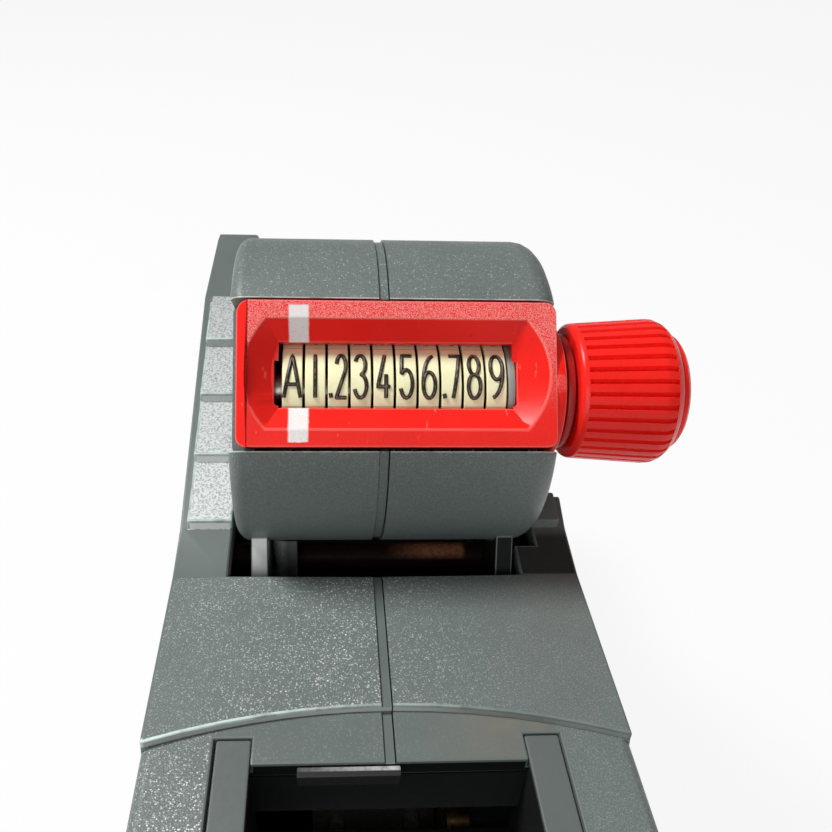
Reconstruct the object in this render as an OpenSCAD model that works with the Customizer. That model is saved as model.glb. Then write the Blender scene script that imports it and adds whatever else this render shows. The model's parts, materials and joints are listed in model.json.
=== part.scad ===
// Hand-held price labeller: two body shells round a label-roll well, a print head that swings down
// between two cheeks, a pull-and-turn selector knob, a squeeze lever and a hinged base plate.
// X points to the user's right, Y forwards to the nose, Z up. The origin lies on the base plate's
// underside, on the centre plane, below the front edge of the panel.

/* [Body] */
// Width of the body shells
body_w = 40.8; // [40:0.2:46]
// Height of the panel above the base
body_h = 52; // [50:0.5:56]
// Wall of the body shells
wall = 2; // [1.6:0.1:2.2]
// Thickness of the panel between the head and the well
panel_t = 2.5; // [2:0.1:3]
// Length of the nose in front of the panel
nose_l = 60; // [57:0.5:66]
// Length of the panel on the centre line
panel_l = 15.2; // [13:0.1:16]
// How far the panel's rear edge sweeps back at the sides
panel_sweep = 3.2; // [1:0.1:4]
// Drop from the panel to the rails beside the well
rail_drop = 0.8; // [0.4:0.1:1.2]
// Length of the handle behind the well
handle_l = 75; // [66:1:86]
// Depth of the handle at its rear end
handle_d = 20; // [17:0.5:24]
// Radius of the handle's long edges
handle_edge_r = 6; // [3:0.5:7]
// Radius of the long outer edges of the rails
rail_edge_r = 1; // [0.5:0.1:1.8]

/* [Cheeks] */
// Start of the first step, in front of the panel
step_start = 6; // [5:0.2:8]
// Length of one step
step_l = 7.6; // [7:0.1:8]
// Number of steps
step_count = 4; // [3:1:4]
// Rise of one tread along its length
tread_rise = 1.8; // [1:0.1:2]
// Height of one riser
riser_h = 1.1; // [0.6:0.1:1.4]
// Width of the plain border outside the treads
border_w = 0.8; // [0.4:0.1:1.2]
// Length of the right cheek's only tread
right_tread_l = 3.6; // [3:0.2:4.4]

/* [Label well] */
// Radius of the round trough that holds the roll
well_r = 27; // [24:0.5:27.5]
// Width of the space for the roll
well_w = 22.8; // [20:0.2:23]
// Wall of the liner
liner_t = 1.6; // [1.2:0.1:1.8]
// Width of the liner's frame strips
strip_w = 2.9; // [2.4:0.1:3]

/* [Print head] */
// Width of the head
head_w = 30.4; // [30:0.1:30.8]
// Radius of the head's barrel
head_r = 15.8; // [15.6:0.1:16]
// Wall of the head shells
head_wall = 2; // [1.6:0.1:2.2]
// Offset of the head from the centre plane
head_x = 1.1; // [0.8:0.1:1.2]
// Distance of the barrel's centre in front of the panel
head_y = 15.4; // [15.2:0.1:16]
// Height of the barrel's centre above the panel
head_z = 12.1; // [11.8:0.1:12.6]
// Angle by which the window faces back from upright
face_tilt = 51; // [49:1:53]
// Swing of the head when the lever is squeezed
head_swing = 10; // [8:0.5:10]
// Rounding of the head's right end
head_end_r = 2.5; // [2:0.5:4]

/* [Window bezel] */
// Width of the bezel
bezel_w = 29; // [28:0.2:29.4]
// Height of the bezel along its face
bezel_h = 13.2; // [12.4:0.2:13.6]
// Distance of the bezel's face from the barrel's centre
bezel_reach = 14.9; // [14.7:0.1:15.1]
// Width of the window
window_w = 21.4; // [20:0.2:21.6]
// Height of the window
window_h = 6; // [5:0.2:6.4]
// Width of the bevels above and below the window
bevel_w = 2; // [1.4:0.1:2.4]
// Reach of the recess's bowed ends beyond the window
bow_reach = 3.2; // [2.4:0.1:3.4]
// Rounding of the bezel's corners
bezel_corner_r = 1; // [0.4:0.1:1.4]
// Depth of the recess round the window
recess_d = 1.5; // [1:0.1:1.7]

/* [Print bands] */
// Number of bands
band_count = 10; // [8:1:10]
// Distance from one band to the next
band_pitch = 2.08; // [1.9:0.02:2.1]
// Width of one band
band_w = 1.84; // [1.6:0.02:1.86]
// Thickness of a band
band_t = 0.5; // [0.4:0.05:0.6]
// Radius of the wheels that carry the bands
wheel_r = 4.4; // [4:0.1:4.5]
// Radius of the print bar
print_bar_r = 1.7; // [1.4:0.1:1.8]

/* [Selector] */
// Largest radius of the knob
knob_r = 7.1; // [6:0.1:7.4]
// Length of the knob
knob_l = 10.8; // [9:0.2:14]
// Number of flutes round the knob
flute_count = 36; // [24:1:36]
// Radius of one flute
flute_r = 0.4; // [0.3:0.05:0.45]
// Radius of the selector shaft
shaft_r = 2; // [1.6:0.1:2.2]

/* [Lever] */
// Squeeze of the lever
lever_squeeze = 8; // [6:0.5:8]
// Thickness of the lever's side plates
lever_plate = 1.6; // [1.4:0.1:1.8]
// Depth of the lever's grip
lever_d = 10; // [8:0.5:10.5]
// Outer diameter of the lever spring
spring_d = 9; // [7:0.5:10]
// Wire of the lever spring
spring_wire = 1.1; // [0.8:0.1:1.3]
// Number of curls of the lever spring
spring_curls = 8; // [6:1:9]

/* [Feed and base] */
// Radius of the feed wheel
feed_r = 9.5; // [8:0.5:9.5]
// Number of pins in one row of the feed wheel
feed_pins = 10; // [6:1:12]
// Number of teeth of the ratchet wheel
ratchet_teeth = 12; // [10:1:16]
// Radius of the ratchet wheel
ratchet_r = 8.5; // [7.5:0.5:8.5]
// Thickness of the platen
platen_t = 3; // [2.5:0.1:3.4]
// Radius of the applicator roller
roller_r = 5; // [4:0.1:5]
// Height of the base plate
base_t = 5.7; // [5.2:0.1:6]
// Sheet thickness of the base plate
base_floor = 2.4; // [2:0.1:3]
// Radius of the long cross pins
pin_r = 1.5; // [1.2:0.1:1.6]
// Radius of the ink roller
ink_r = 4.2; // [3.6:0.1:4.3]

/* [Clearances] */
// Radial running clearance of a pin in its bore
fit_gap = 0.05; // [0.02:0.01:0.09]
// Clearance of a pin in a seat where it does not turn
seat_gap = 0.02; // [0.01:0.01:0.05]
// Gap between parts that lie side by side
part_gap = 0.3; // [0.25:0.05:0.4]

/* [Hidden] */
$fn = 64;
arc_steps = 5;
beyond = 200;
half_w = body_w / 2;
inner_w = half_w - wall;
cap_z = body_h - panel_t;
rail_z = body_h - rail_drop;

// Parting plane of the shells and the sunk strip beside it
seam_x = 0.44;
seam_gap = 0.06;
strip_left = -0.5;
strip_drop = 0.25;

// The well and the rear of the body
well_front = -(panel_l + panel_sweep + 1.6);
well_y = well_front - well_r;
well_back = well_y - well_r;
well_axis_z = body_h - 10;
body_back = well_back - liner_t - 0.6;
sweep_r = (half_w * half_w + panel_sweep * panel_sweep) / (2 * panel_sweep);
sweep_y = -panel_l - sweep_r;
strip_out = well_w / 2 + strip_w;
ledge_t = 0.8;
liner_out = well_w / 2 + liner_t;
well_rear = well_back - liner_t - 0.15;
strip_front = well_front + 2.3;

// The handle
handle_end = body_back - handle_l;
handle_rise = 2;
handle_top = body_h + handle_rise;
handle_low_rear = handle_top - handle_d;
handle_low_front = body_h - 23.5;
shell_low = base_t + part_gap;

// The head: its swing axis, its barrel and the axis of the band wheels
swing_axis = [-12, body_h - 8];
barrel = [head_y, body_h + head_z];
face_out = [-sin(face_tilt), cos(face_tilt)];
face_up = [cos(face_tilt), sin(face_tilt)];
window_rise = 0.8;
face_c = 6.3;
wheel_depth = bezel_reach - face_c;
wheel_axis = barrel + wheel_depth * face_out - window_rise * face_up;
head_left = head_x - head_w / 2;
head_right = head_x + head_w / 2;
head_in = head_w / 2 - 2.2;
mouth_in = head_in - 1;
channel_gap = 0.4;

// The channel between the cheeks and the head's arms in it
channel_left = head_left - 2 * channel_gap;
channel_right = head_right - 1.8;
arm_t = 1.7;
arm_left = channel_left + 2.2;
arm_right = channel_right - 0.7 - arm_t;
bar_axis = barrel + [0.3, 0.9 - head_r];
drive_pin = [8.1, body_h - 5.2];
bezel_pocket = 5;
bow_r = 12;
bow_tilt = 59;

// The bands
band_r = wheel_r + band_t;
bar_band_r = print_bar_r + band_t;
band_x = head_x - 0.1;
band_span = band_count * band_pitch;

// The knob
ear_out = 0.2;
collar_x = head_right + ear_out + 0.3;
collar_t = 0.8;
knob_x = collar_x + collar_t + 0.2;
knob_end = knob_x + knob_l;

// The lever
lever_axis = [-2, 24];
lever_out = inner_w - 0.6;
lever_in = lever_out - lever_plate;
lever_start = body_back - 3;
lever_tail = handle_end + 3;
lever_low_front = 4;
lever_low_tail = 1.2;
lever_web = 2.2;
pawl_axis = lever_axis + 13.5 * [cos(150), sin(150)];

// The platen and what lies in front of it
function turn(v, a) = [v[0] * cos(a) - v[1] * sin(a), v[0] * sin(a) + v[1] * cos(a)];
function about(p, centre, a) = centre + turn(p - centre, a);
function unit(v) = v / norm(v);
label_gap = 0.5;
print_pose = about(bar_axis, swing_axis, -head_swing);
platen_top = print_pose[1] - bar_band_r - label_gap;
platen_front = nose_l - 3;
platen_rear = 12.2;
platen_half = head_w / 2 - 3.2;
pad_half = platen_half - 1;
pad_l = 8;
peel_half = platen_half - 0.7;
peel_l = 7.8;
roller_half = platen_half + 1;
roller_groove_r = 0.35;
platen_wide_from = head_y + 2.6;
roller_axis = [nose_l - 2.5, platen_top + 1.1 + roller_r];
hinge_axis = [nose_l - 16, 3.4];
hinge_r = 1.25;
knuckle_r = 3.2;
ink_axis = barrel + [8.9, -11.4];

// Points of a rounded corner
function corner(before, at, after, r) =
    let (a = unit(before - at), b = unit(after - at), half = acos(a * b) / 2,
         centre = at + unit(a + b) * r / sin(half), from = at + a * r / tan(half) - centre,
         to = at + b * r / tan(half) - centre, sweep = (180 - 2 * half) * sign(cross(from, to)))
    [for (i = [0:arc_steps]) centre + turn(from, sweep * i / arc_steps)];

// An outline given as [y, z, corner radius]
function outline(list) =
    [for (i = [0:len(list) - 1])
        let (n = len(list), p = list[i], b = list[(i + n - 1) % n], a = list[(i + 1) % n])
        each p[2] == 0 ? [[p[0], p[1]]] : corner([b[0], b[1]], [p[0], p[1]], [a[0], a[1]], p[2])];

// The outline of a belt round two round ends
belt_steps = 20;
function belt(c1, r1, c2, r2) =
    let (d = norm(c2 - c1), along = (c2 - c1) / d, lean = acos((r1 - r2) / d))
    concat([for (i = [0:belt_steps]) c1 + r1 * turn(along, lean + (360 - 2 * lean) * i / belt_steps)],
           [for (i = [0:belt_steps]) c2 + r2 * turn(along, lean * (2 * i / belt_steps - 1))]);

// A flat YZ shape drawn out along X
module across(from, to) {
    translate([from, 0, 0]) rotate([90, 0, 90]) linear_extrude(to - from) children();
}

// A round bar along X through a point of the YZ plane
module bar(at, r, from, to) {
    translate([from, at[0], at[1]]) rotate([0, 90, 0]) cylinder(r = r, h = to - from);
}

// A box between two corners
module block(low, high) {
    translate(low) cube(high - low);
}

// What it holds is turned onto the window's face, with Z out of the face
module on_face() {
    translate([0, wheel_axis[0], wheel_axis[1]]) rotate([face_tilt, 0, 0]) children();
}

// What it keeps of a solid lies left or right of the parting plane
module left_half() {
    intersection() {
        children();
        block([-beyond, -beyond, -beyond], [seam_x - seam_gap, beyond, beyond]);
    }
}

module right_half() {
    intersection() {
        children();
        block([seam_x + seam_gap, -beyond, -beyond], [beyond, beyond, beyond]);
    }
}

// Treads and risers of a cheek, from the nose back to the panel
cheek_base = 0.9;
cheek_end = step_start + step_count * step_l;
cheek_top = body_h + cheek_base + step_count * (tread_rise + riser_h);
cheek_steps = [
    for (i = [step_count - 1:-1:0])
        let (foot = body_h + cheek_base + i * (tread_rise + riser_h) + riser_h)
        each [[step_start + (i + 1) * step_l, foot + tread_rise, 0], [step_start + i * step_l, foot, 0]]
];

belly_points = [
    [body_back, shell_low, 2],
    [hinge_axis[0] - 5, shell_low, 0],
    [hinge_axis[0] - 4, 0.6, 1],
    [hinge_axis[0] + 4.4, 0.6, 3],
    [nose_l - 2, platen_top - 6, 4],
    [nose_l, platen_top + 1, 3]
];
handle_points = [
    [body_back - 3, handle_low_front + 0.2, 0],
    [body_back, handle_low_front - 2, 0]
];
side_outline = outline(concat(
    belly_points,
    [[max(nose_l - 0.5, cheek_end + 8), cheek_top + 0.9, 6]],
    cheek_steps,
    [[step_start, body_h + cheek_base, 0], [0, body_h, 0], [body_back - 2, body_h, 12],
     [handle_end, handle_top, 9], [handle_end + 2, handle_low_rear, 8]],
    handle_points
));
core_outline = outline([
    [body_back + wall, -1, 0],
    [hinge_axis[0] + 4.6 - wall, -1, 0],
    [nose_l - 2.3 - wall, platen_top - 6, 3],
    [nose_l - wall, platen_top + 1, 1],
    [nose_l - wall, cap_z, 0],
    [handle_end + wall, cap_z, 7],
    [handle_end + 2.2 + wall, handle_low_rear + wall, 6],
    [body_back - 3, handle_low_front + 0.2 + wall, 0],
    [body_back + wall, handle_low_front - 1, 0]
]);

// The plain border outside the treads lies along the feet of the risers
module tread_borders() {
    for (side = [-1, 1])
        across(side > 0 ? half_w - border_w : -beyond, side > 0 ? beyond : border_w - half_w)
            polygon([[step_start, body_h + cheek_base], [cheek_end, cheek_top],
                     [cheek_end, beyond], [step_start, beyond]]);
}

// Room for the head's right end as it swings down over the right cheek
module head_room() {
    across(channel_right - 1, head_right + channel_gap)
        for (share = [0:0.25:1])
            translate(about(barrel, swing_axis, -head_swing * share)) circle(r = head_r + part_gap, $fn = 128);
}

// Screw posts join the two shells
screw_spots = [[handle_end + 14, handle_top - 10], [body_back - 9, body_h - 11],
               [nose_l - 9, platen_top - 11], [28, 14]];
post_r = 3.2;
screw_r = 1.3;
screw_head_r = 2.5;
screw_head_t = 1.5;

module screw_posts() {
    for (spot = screw_spots) bar(spot, post_r, -half_w + 0.1, half_w - 0.1);
}

module screw_holes() {
    for (spot = screw_spots) {
        bar(spot, screw_r + seat_gap, -half_w, seam_x + 10);
        bar(spot, screw_head_r + part_gap, -half_w - 1, -half_w + screw_head_t + part_gap);
    }
}

// Rounds a straight long edge at the outside of the body
module edge_cut(at, r, from, to) {
    for (side = [-1, 1])
        difference() {
            block([side > 0 ? half_w - r : -half_w - 1, from, at - r],
                  [side > 0 ? half_w + 1 : -half_w + r, to, at + beyond]);
            translate([side * (half_w - r), from - 1, at - r]) rotate([-90, 0, 0])
                cylinder(r = r, h = to - from + 2);
        }
}

// Rounds the handle's lower edges, which slope
handle_slope = atan2(handle_low_front - handle_low_rear, body_back - handle_end);
module handle_low_cut() {
    for (side = [-1, 1])
        translate([side * half_w, body_back - 3, handle_low_front + 0.2]) rotate([handle_slope, 0, 0])
            difference() {
                block([-handle_edge_r, -handle_l - 8, -beyond], [handle_edge_r, 0, handle_edge_r]);
                translate([-side * handle_edge_r, -handle_l - 9, handle_edge_r]) rotate([-90, 0, 0])
                    cylinder(r = handle_edge_r, h = handle_l + 10);
            }
}

// Bores and hollows of the whole body
module pin_seats(depth) {
    for (p = [swing_axis, lever_axis]) bar(p, pin_r + seat_gap, -depth, depth);
    bar(roller_axis, pin_r + seat_gap, -depth, depth);
    bar(hinge_axis, hinge_r + seat_gap, -depth, depth);
}

seat_depth = half_w - 0.7;
pin_end = seat_depth - 0.1;

module body_solid() {
    difference() {
        union() {
            difference() {
                across(-half_w, half_w) polygon(side_outline);
                across(-inner_w, inner_w) polygon(core_outline);
            }
            intersection() {
                screw_posts();
                across(-half_w, half_w) polygon(side_outline);
            }
            // ledges under the platen
            for (side = [-1, 1])
                block([side > 0 ? inner_w - 5 : -inner_w - 0.5, platen_wide_from + 1, platen_top - platen_t - 2],
                      [side > 0 ? inner_w + 0.5 : 5 - inner_w, nose_l - 6, platen_top - platen_t]);
        }
        // channel for the head, open at the top and the front
        block([channel_left, 0, cap_z - 1], [channel_right, beyond, beyond]);
        head_room();
        block([head_left - channel_gap, nose_l - 8, platen_top - platen_t - 0.2],
              [head_right + channel_gap, beyond, beyond]);
        tread_borders();
        // the right cheek ends after one tread, to leave the knob free
        block([channel_right - 1, step_start + right_tread_l, body_h - 1], [beyond, beyond, beyond]);
        // label well with a ledge for the liner's strips
        for (side = [-1, 1])
            block([side > 0 ? 0 : -strip_out - 0.15, well_rear, rail_z - ledge_t - 0.05],
                  [side > 0 ? strip_out + 0.15 : 0, well_front, beyond]);
        for (side = [-1, 1])
            block([side > 0 ? well_w / 2 : -strip_out - 0.15, well_front - 1, rail_z - ledge_t - 0.05],
                  [side > 0 ? strip_out + 0.15 : -well_w / 2, strip_front + 0.1, beyond]);
        block([-liner_out - part_gap, well_rear, cap_z - 1], [liner_out + part_gap, well_front, beyond]);
        // step down from the panel to the rails, along the swept edge
        intersection() {
            translate([0, sweep_y, rail_z]) cylinder(r = sweep_r, h = beyond, $fn = 200);
            block([-beyond, body_back - 1, 0], [beyond, beyond, beyond]);
        }
        // rear opening for the lever
        block([-inner_w, body_back - 1, -1], [inner_w, body_back + 5, handle_low_front - 2]);
        // long edges
        edge_cut(handle_top, handle_edge_r, handle_end - 1, body_back - 1);
        edge_cut(rail_z, rail_edge_r, body_back - 1, -panel_l - panel_sweep);
        handle_low_cut();
        screw_holes();
        pin_seats(seat_depth);
    }
}

module left_shell() {
    color("#5c6664") difference() {
        left_half() body_solid();
        block([strip_left, -beyond, body_h - strip_drop], [seam_x, 0, beyond]);
        block([strip_left, well_front - 2, rail_z - strip_drop], [seam_x, -panel_l - 0.05, beyond]);
    }
}

module right_shell() {
    color("#5c6664") right_half() body_solid();
}

guide_axis = [well_front - 2, rail_z - 12];
guide_r = 0.8;
module well_liner() {
    color("#4a5250") difference() {
        union() {
            across(-liner_out, liner_out) {
                intersection() {
                    translate([well_y, well_axis_z]) circle(r = well_r + liner_t, $fn = 120);
                    translate([well_back - liner_t, 0]) square([2 * (well_r + liner_t), well_axis_z]);
                }
                translate([well_back - liner_t, well_axis_z])
                    square([2 * (well_r + liner_t), rail_z - well_axis_z]);
            }
            for (side = [-1, 1])
                block([side > 0 ? well_w / 2 : -strip_out, well_back - liner_t, rail_z - ledge_t],
                      [side > 0 ? strip_out : -well_w / 2, strip_front, rail_z]);
        }
        across(-well_w / 2, well_w / 2) {
            translate([well_y, well_axis_z]) circle(r = well_r, $fn = 120);
            translate([well_back, well_axis_z]) square([2 * well_r, beyond]);
        }
        // the front wall ends under the shells
        block([-beyond, well_front - 0.1, cap_z - 0.1], [beyond, strip_front + 1, rail_z - ledge_t - 0.1]);
        block([-well_w / 2, well_front - 0.1, cap_z - 0.1], [well_w / 2, strip_front + 1, beyond]);
        // slot for the label strip in the front wall
        block([-well_w / 2, well_y, platen_top - 3], [well_w / 2, 0, rail_z - 7]);
        // seats of the guide bar
        bar(guide_axis, guide_r + seat_gap, -well_w / 2 - 1, well_w / 2 + 1);
    }
}

module label_guide_bar() {
    color("silver") bar(guide_axis, guide_r, -well_w / 2 - 0.9, well_w / 2 + 0.9);
}

// A lip on the well's front wall over which the strip is torn off the roll
leaf_w = 8.4;
leaf_x = -3.4;
leaf_t = 0.5;
leaf_h = 1.9;
lip_l = 0.9;
module roll_leaf() {
    wall_y = well_front - 0.1;
    top = rail_z - 0.3;
    color("silver") across(leaf_x - leaf_w / 2, leaf_x + leaf_w / 2)
        polygon([[wall_y, top - leaf_h], [wall_y, top], [wall_y - lip_l, top],
                 [wall_y - lip_l, top - leaf_t], [wall_y - leaf_t, top - leaf_t], [wall_y - leaf_t, top - leaf_h]]);
}

module platen() {
    color("#3a403f") difference() {
        union() {
            block([head_x - platen_half, platen_rear, platen_top - platen_t],
                  [head_x + platen_half, platen_front, platen_top]);
            block([-inner_w + part_gap, platen_wide_from, platen_top - platen_t],
                  [inner_w - part_gap, nose_l - 9, platen_top - 0.4]);
        }
        block([head_x - pad_half - 0.2, print_pose[0] - pad_l / 2 - 0.2, platen_top - 1.2],
              [head_x + pad_half + 0.2, print_pose[0] + pad_l / 2 + 0.2, beyond]);
        block([head_x - peel_half - 0.2, platen_front - peel_l - 0.2, platen_top - 0.8],
              [head_x + peel_half + 0.2, beyond, beyond]);
    }
}

module platen_pad() {
    color("#20221f") block([head_x - pad_half, print_pose[0] - pad_l / 2, platen_top - 1.2],
                           [head_x + pad_half, print_pose[0] + pad_l / 2, platen_top]);
}

module peel_plate() {
    color("silver") across(head_x - peel_half, head_x + peel_half)
        polygon([[platen_front - peel_l, platen_top - 0.8], [platen_front + 0.6, platen_top - 0.8],
                 [platen_front + 1.4, platen_top - 0.25], [platen_front + 1.4, platen_top - 0.1],
                 [platen_front + 0.6, platen_top], [platen_front - peel_l, platen_top]]);
}

module applicator_axle() {
    color("silver") bar(roller_axis, pin_r, -pin_end, pin_end);
}

module applicator_roller() {
    color("#2b2d2b") difference() {
        bar(roller_axis, roller_r, head_x - roller_half, head_x + roller_half);
        bar(roller_axis, pin_r + fit_gap, -beyond, beyond);
        for (i = [-5:5])
            translate([head_x + i * roller_half / 6, roller_axis[0], roller_axis[1]]) rotate([0, 90, 0])
                rotate_extrude() translate([roller_r, 0]) circle(r = roller_groove_r);
    }
}

module feed_axle() {
    color("silver") bar(lever_axis, pin_r, -pin_end, pin_end);
}

module head_pivot_pin() {
    color("silver") bar(swing_axis, pin_r, -pin_end, pin_end);
}

module base_hinge_pin() {
    color("silver") bar(hinge_axis, hinge_r, -pin_end, pin_end);
}

module shell_screws() {
    color("silver") for (spot = screw_spots) difference() {
        union() {
            bar(spot, screw_r, -half_w + 0.4, seam_x + 9);
            bar(spot, screw_head_r, -half_w + 0.4, -half_w + screw_head_t);
        }
        translate([-half_w + 0.4, spot[0], spot[1]]) cube([1.6, 0.8, 3.4], center = true);
        translate([-half_w + 0.4, spot[0], spot[1]]) cube([1.6, 3.4, 0.8], center = true);
    }
}

// Print head
module barrel_turned(r, from, to, left_r, right_r) {
    translate([0, barrel[0], barrel[1]]) rotate([0, 90, 0]) rotate_extrude($fn = 128)
        polygon(outline([[0, from, 0], [r, from, left_r], [r, to, right_r], [0, to, 0]]));
}

arm_outline = outline([
    [swing_axis[0] - 3.4, swing_axis[1] - 3.4, 3.3],
    [drive_pin[0] + 2, drive_pin[1] - 3.4, 2],
    [head_y - 1.6, barrel[1] - 14.6, 0],
    [head_y - 4, barrel[1] + 1.4, 0],
    [3, body_h + 4, 0],
    [-0.5, cap_z - 1.2, 3],
    [swing_axis[0] - 3.4, swing_axis[1] + 3.4, 3.3]
]);

module head_solid() {
    difference() {
        union() {
            barrel_turned(head_r, head_left, head_right, 1.3, head_end_r);
            for (x = [arm_left, arm_right]) across(x, x + arm_t) polygon(arm_outline);
        }
        barrel_turned(head_r - head_wall, head_x - head_in, head_x + head_in, 0.5, 2);
        // pocket for the bezel
        on_face() block([head_x - bezel_w / 2 - beyond, window_rise - bezel_h / 2 - part_gap, face_c - bezel_pocket],
                        [head_x + bezel_w / 2 + beyond, window_rise + bezel_h / 2 + part_gap, beyond]);
        // room for the bezel's ear and the shaft at the right end
        bar(wheel_axis, 6.6, head_right - 1.3, beyond);
        bar(wheel_axis, shaft_r + part_gap, 0, beyond);
        // opening over the print bar and the ink roller
        block([head_x - mouth_in, bar_axis[0] - 4.4, 0], [head_x + mouth_in, head_y + 14.4, barrel[1] - 9.6]);
        bar(ink_axis, ink_r + 2.4, head_x - head_in, head_x + head_in);
        // seats
        bar(swing_axis, pin_r + fit_gap, -beyond, beyond);
        bar(drive_pin, pin_r + seat_gap, -beyond, beyond);
        bar(bar_axis, print_bar_r - 0.5 + seat_gap, head_x - head_in - 1, head_x + head_in + 1);
    }
}

// A sunk strip beside the head's seam
module head_strip() {
    difference() {
        bar(barrel, head_r + 1, strip_left, seam_x);
        bar(barrel, head_r - strip_drop, strip_left - 1, seam_x + 1);
    }
}

module head_left_shell() {
    color("#5c6664") difference() {
        left_half() head_solid();
        head_strip();
    }
}

module head_right_shell() {
    color("#5c6664") right_half() head_solid();
}

// A bent steel strap inside the left arm, seen in the gap behind the head
strap_t = 0.8;
strap_r = 2.8;
strap_axis = [arm_left + arm_t + strap_r + seat_gap, 7.8];
strap_low = body_h - 9;
strap_l = 0.6;
module head_strap() {
    color("silver") difference() {
        translate([strap_axis[0], strap_axis[1], strap_low]) {
            difference() {
                cylinder(r = strap_r, h = beyond);
                translate([0, 0, -1]) cylinder(r = strap_r - strap_t, h = 2 * beyond);
                block([0, -beyond, -1], [beyond, beyond, 2 * beyond]);
                block([-beyond, 0, -1], [beyond, beyond, 2 * beyond]);
            }
            block([-strap_r, -0.01, 0], [strap_t - strap_r, strap_l, beyond]);
        }
        block([-beyond, -beyond, barrel[1] - 6], [beyond, beyond, 2 * beyond]);
        bar(barrel, head_r + part_gap / 2, -beyond, beyond);
        bar(drive_pin, pin_r + part_gap, -beyond, beyond);
    }
}

module head_drive_pin() {
    color("#8a5a3c") bar(drive_pin, pin_r, -lever_out, lever_out);
}

// A leaning cylinder bounds the recess at each end with a bowed edge
module bow_cut(side) {
    bow_x = window_w / 2 + bow_reach - bow_r / cos(bow_tilt);
    on_face() translate([head_x + side * bow_x, window_rise, face_c]) rotate([0, side * bow_tilt, 0])
        cylinder(r = bow_r, h = 6 * bow_r, center = true, $fn = 128);
}

end_slope = 1.1;
end_drop = 0.9;
bezel_outline = outline([
    for (corner = [[-1, -1], [1, -1], [1, 1], [-1, 1]])
        [corner[0] * bezel_w / 2, corner[1] * bezel_h / 2, bezel_corner_r]
]);
module window_bezel() {
    color("#c8201e") difference() {
        union() {
            on_face() translate([head_x, window_rise, face_c - bezel_pocket + 0.2])
                linear_extrude(bezel_pocket - 0.2) polygon(bezel_outline);
            bar(wheel_axis, face_c, head_right - 1, head_right + ear_out);
        }
        // sloped ends of the face
        on_face() translate([head_x, window_rise, face_c]) rotate([90, 0, 0])
            linear_extrude(2 * bezel_h, center = true) {
                polygon([[-bezel_w, 1], [-bezel_w, -end_drop], [-bezel_w / 2, -end_drop],
                         [end_slope - bezel_w / 2, 0], [end_slope - bezel_w / 2, 1]]);
            }
        // recess with sloped walls above, below and at both ends
        intersection() {
            on_face() translate([-beyond, window_rise, face_c]) rotate([90, 0, 90]) linear_extrude(2 * beyond)
                polygon([[-window_h / 2, -recess_d], [window_h / 2, -recess_d],
                         [window_h / 2 + bevel_w, 0], [window_h / 2 + bevel_w, 1],
                         [-window_h / 2 - bevel_w, 1], [-window_h / 2 - bevel_w, 0]]);
            bow_cut(-1);
            bow_cut(1);
        }
        on_face() block([head_x - window_w / 2, window_rise - window_h / 2, -beyond],
                        [head_x + window_w / 2, window_rise + window_h / 2, beyond]);
        // room for the bands and the shaft
        bar(wheel_axis, band_r + part_gap, head_x - window_w / 2 - 0.4, head_x + window_w / 2 + 0.4);
        bar(wheel_axis, shaft_r + fit_gap, -beyond, beyond);
        // keeps the ear clear of the head's shell
        bar(wheel_axis, wheel_r, head_x + head_in - 2.5, head_right - 1);
    }
}

module band_loop(extra) {
    polygon(belt(wheel_axis, wheel_r + extra, bar_axis, print_bar_r + extra));
}

function band_centre(i) = band_x + (i - (band_count - 1) / 2) * band_pitch;

module print_band(i) {
    color("#e6ddb4") across(band_centre(i) - band_w / 2, band_centre(i) + band_w / 2) difference() {
        band_loop(band_t);
        band_loop(0.02);
    }
}

module band_wheels() {
    color("#3a3a38") for (i = [0:band_count - 1]) difference() {
        bar(wheel_axis, wheel_r, band_centre(i) - band_w / 2, band_centre(i) + band_w / 2);
        bar(wheel_axis, shaft_r + fit_gap, -beyond, beyond);
    }
}

module band_spacer() {
    color("#9a9d9a") difference() {
        bar(wheel_axis, band_r - 0.2, band_x + band_span / 2 + 0.05, band_x + band_span / 2 + 0.75);
        bar(wheel_axis, shaft_r + fit_gap, -beyond, beyond);
    }
}

module print_bar() {
    color("silver") {
        bar(bar_axis, print_bar_r, head_x - mouth_in + 0.1, head_x + mouth_in - 0.1);
        bar(bar_axis, print_bar_r - 0.5, head_x - head_in - 0.9, head_x + head_in + 0.9);
    }
}

module ink_holder() {
    color("#2c2f2e") difference() {
        bar(ink_axis, ink_r + 2, head_x - head_in + 0.2, head_x + head_in - 0.2);
        bar(ink_axis, ink_r + 0.6, head_x - head_in + 1.6, head_x + head_in - 1.6);
        // open to the print bar and below
        block([-beyond, ink_axis[0] - 20, 0], [beyond, ink_axis[0] + 1.2, ink_axis[1] + 1.4]);
        block([head_x - head_in + 1.6, 0, 0], [head_x + head_in - 1.6, ink_axis[0] + 1.2, beyond]);
        block([-beyond, 0, 0], [beyond, beyond, ink_axis[1] - 3.2]);
        bar(ink_axis, 1.2 + fit_gap, -beyond, beyond);
    }
}

module ink_roller() {
    color("#191a1c") {
        bar(ink_axis, ink_r, head_x - head_in + 1.9, head_x + head_in - 1.9);
        bar(ink_axis, 1.2, head_x - head_in + 0.3, head_x + head_in - 0.3);
    }
}

// Selector
module knob_collar() {
    color("#8c1614") difference() {
        bar(wheel_axis, 5.6, collar_x, collar_x + collar_t);
        bar(wheel_axis, shaft_r + fit_gap, -beyond, beyond);
    }
}

module selector_shaft() {
    color("silver") bar(wheel_axis, shaft_r, head_x - head_in + 1, knob_end - 3);
}

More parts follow.
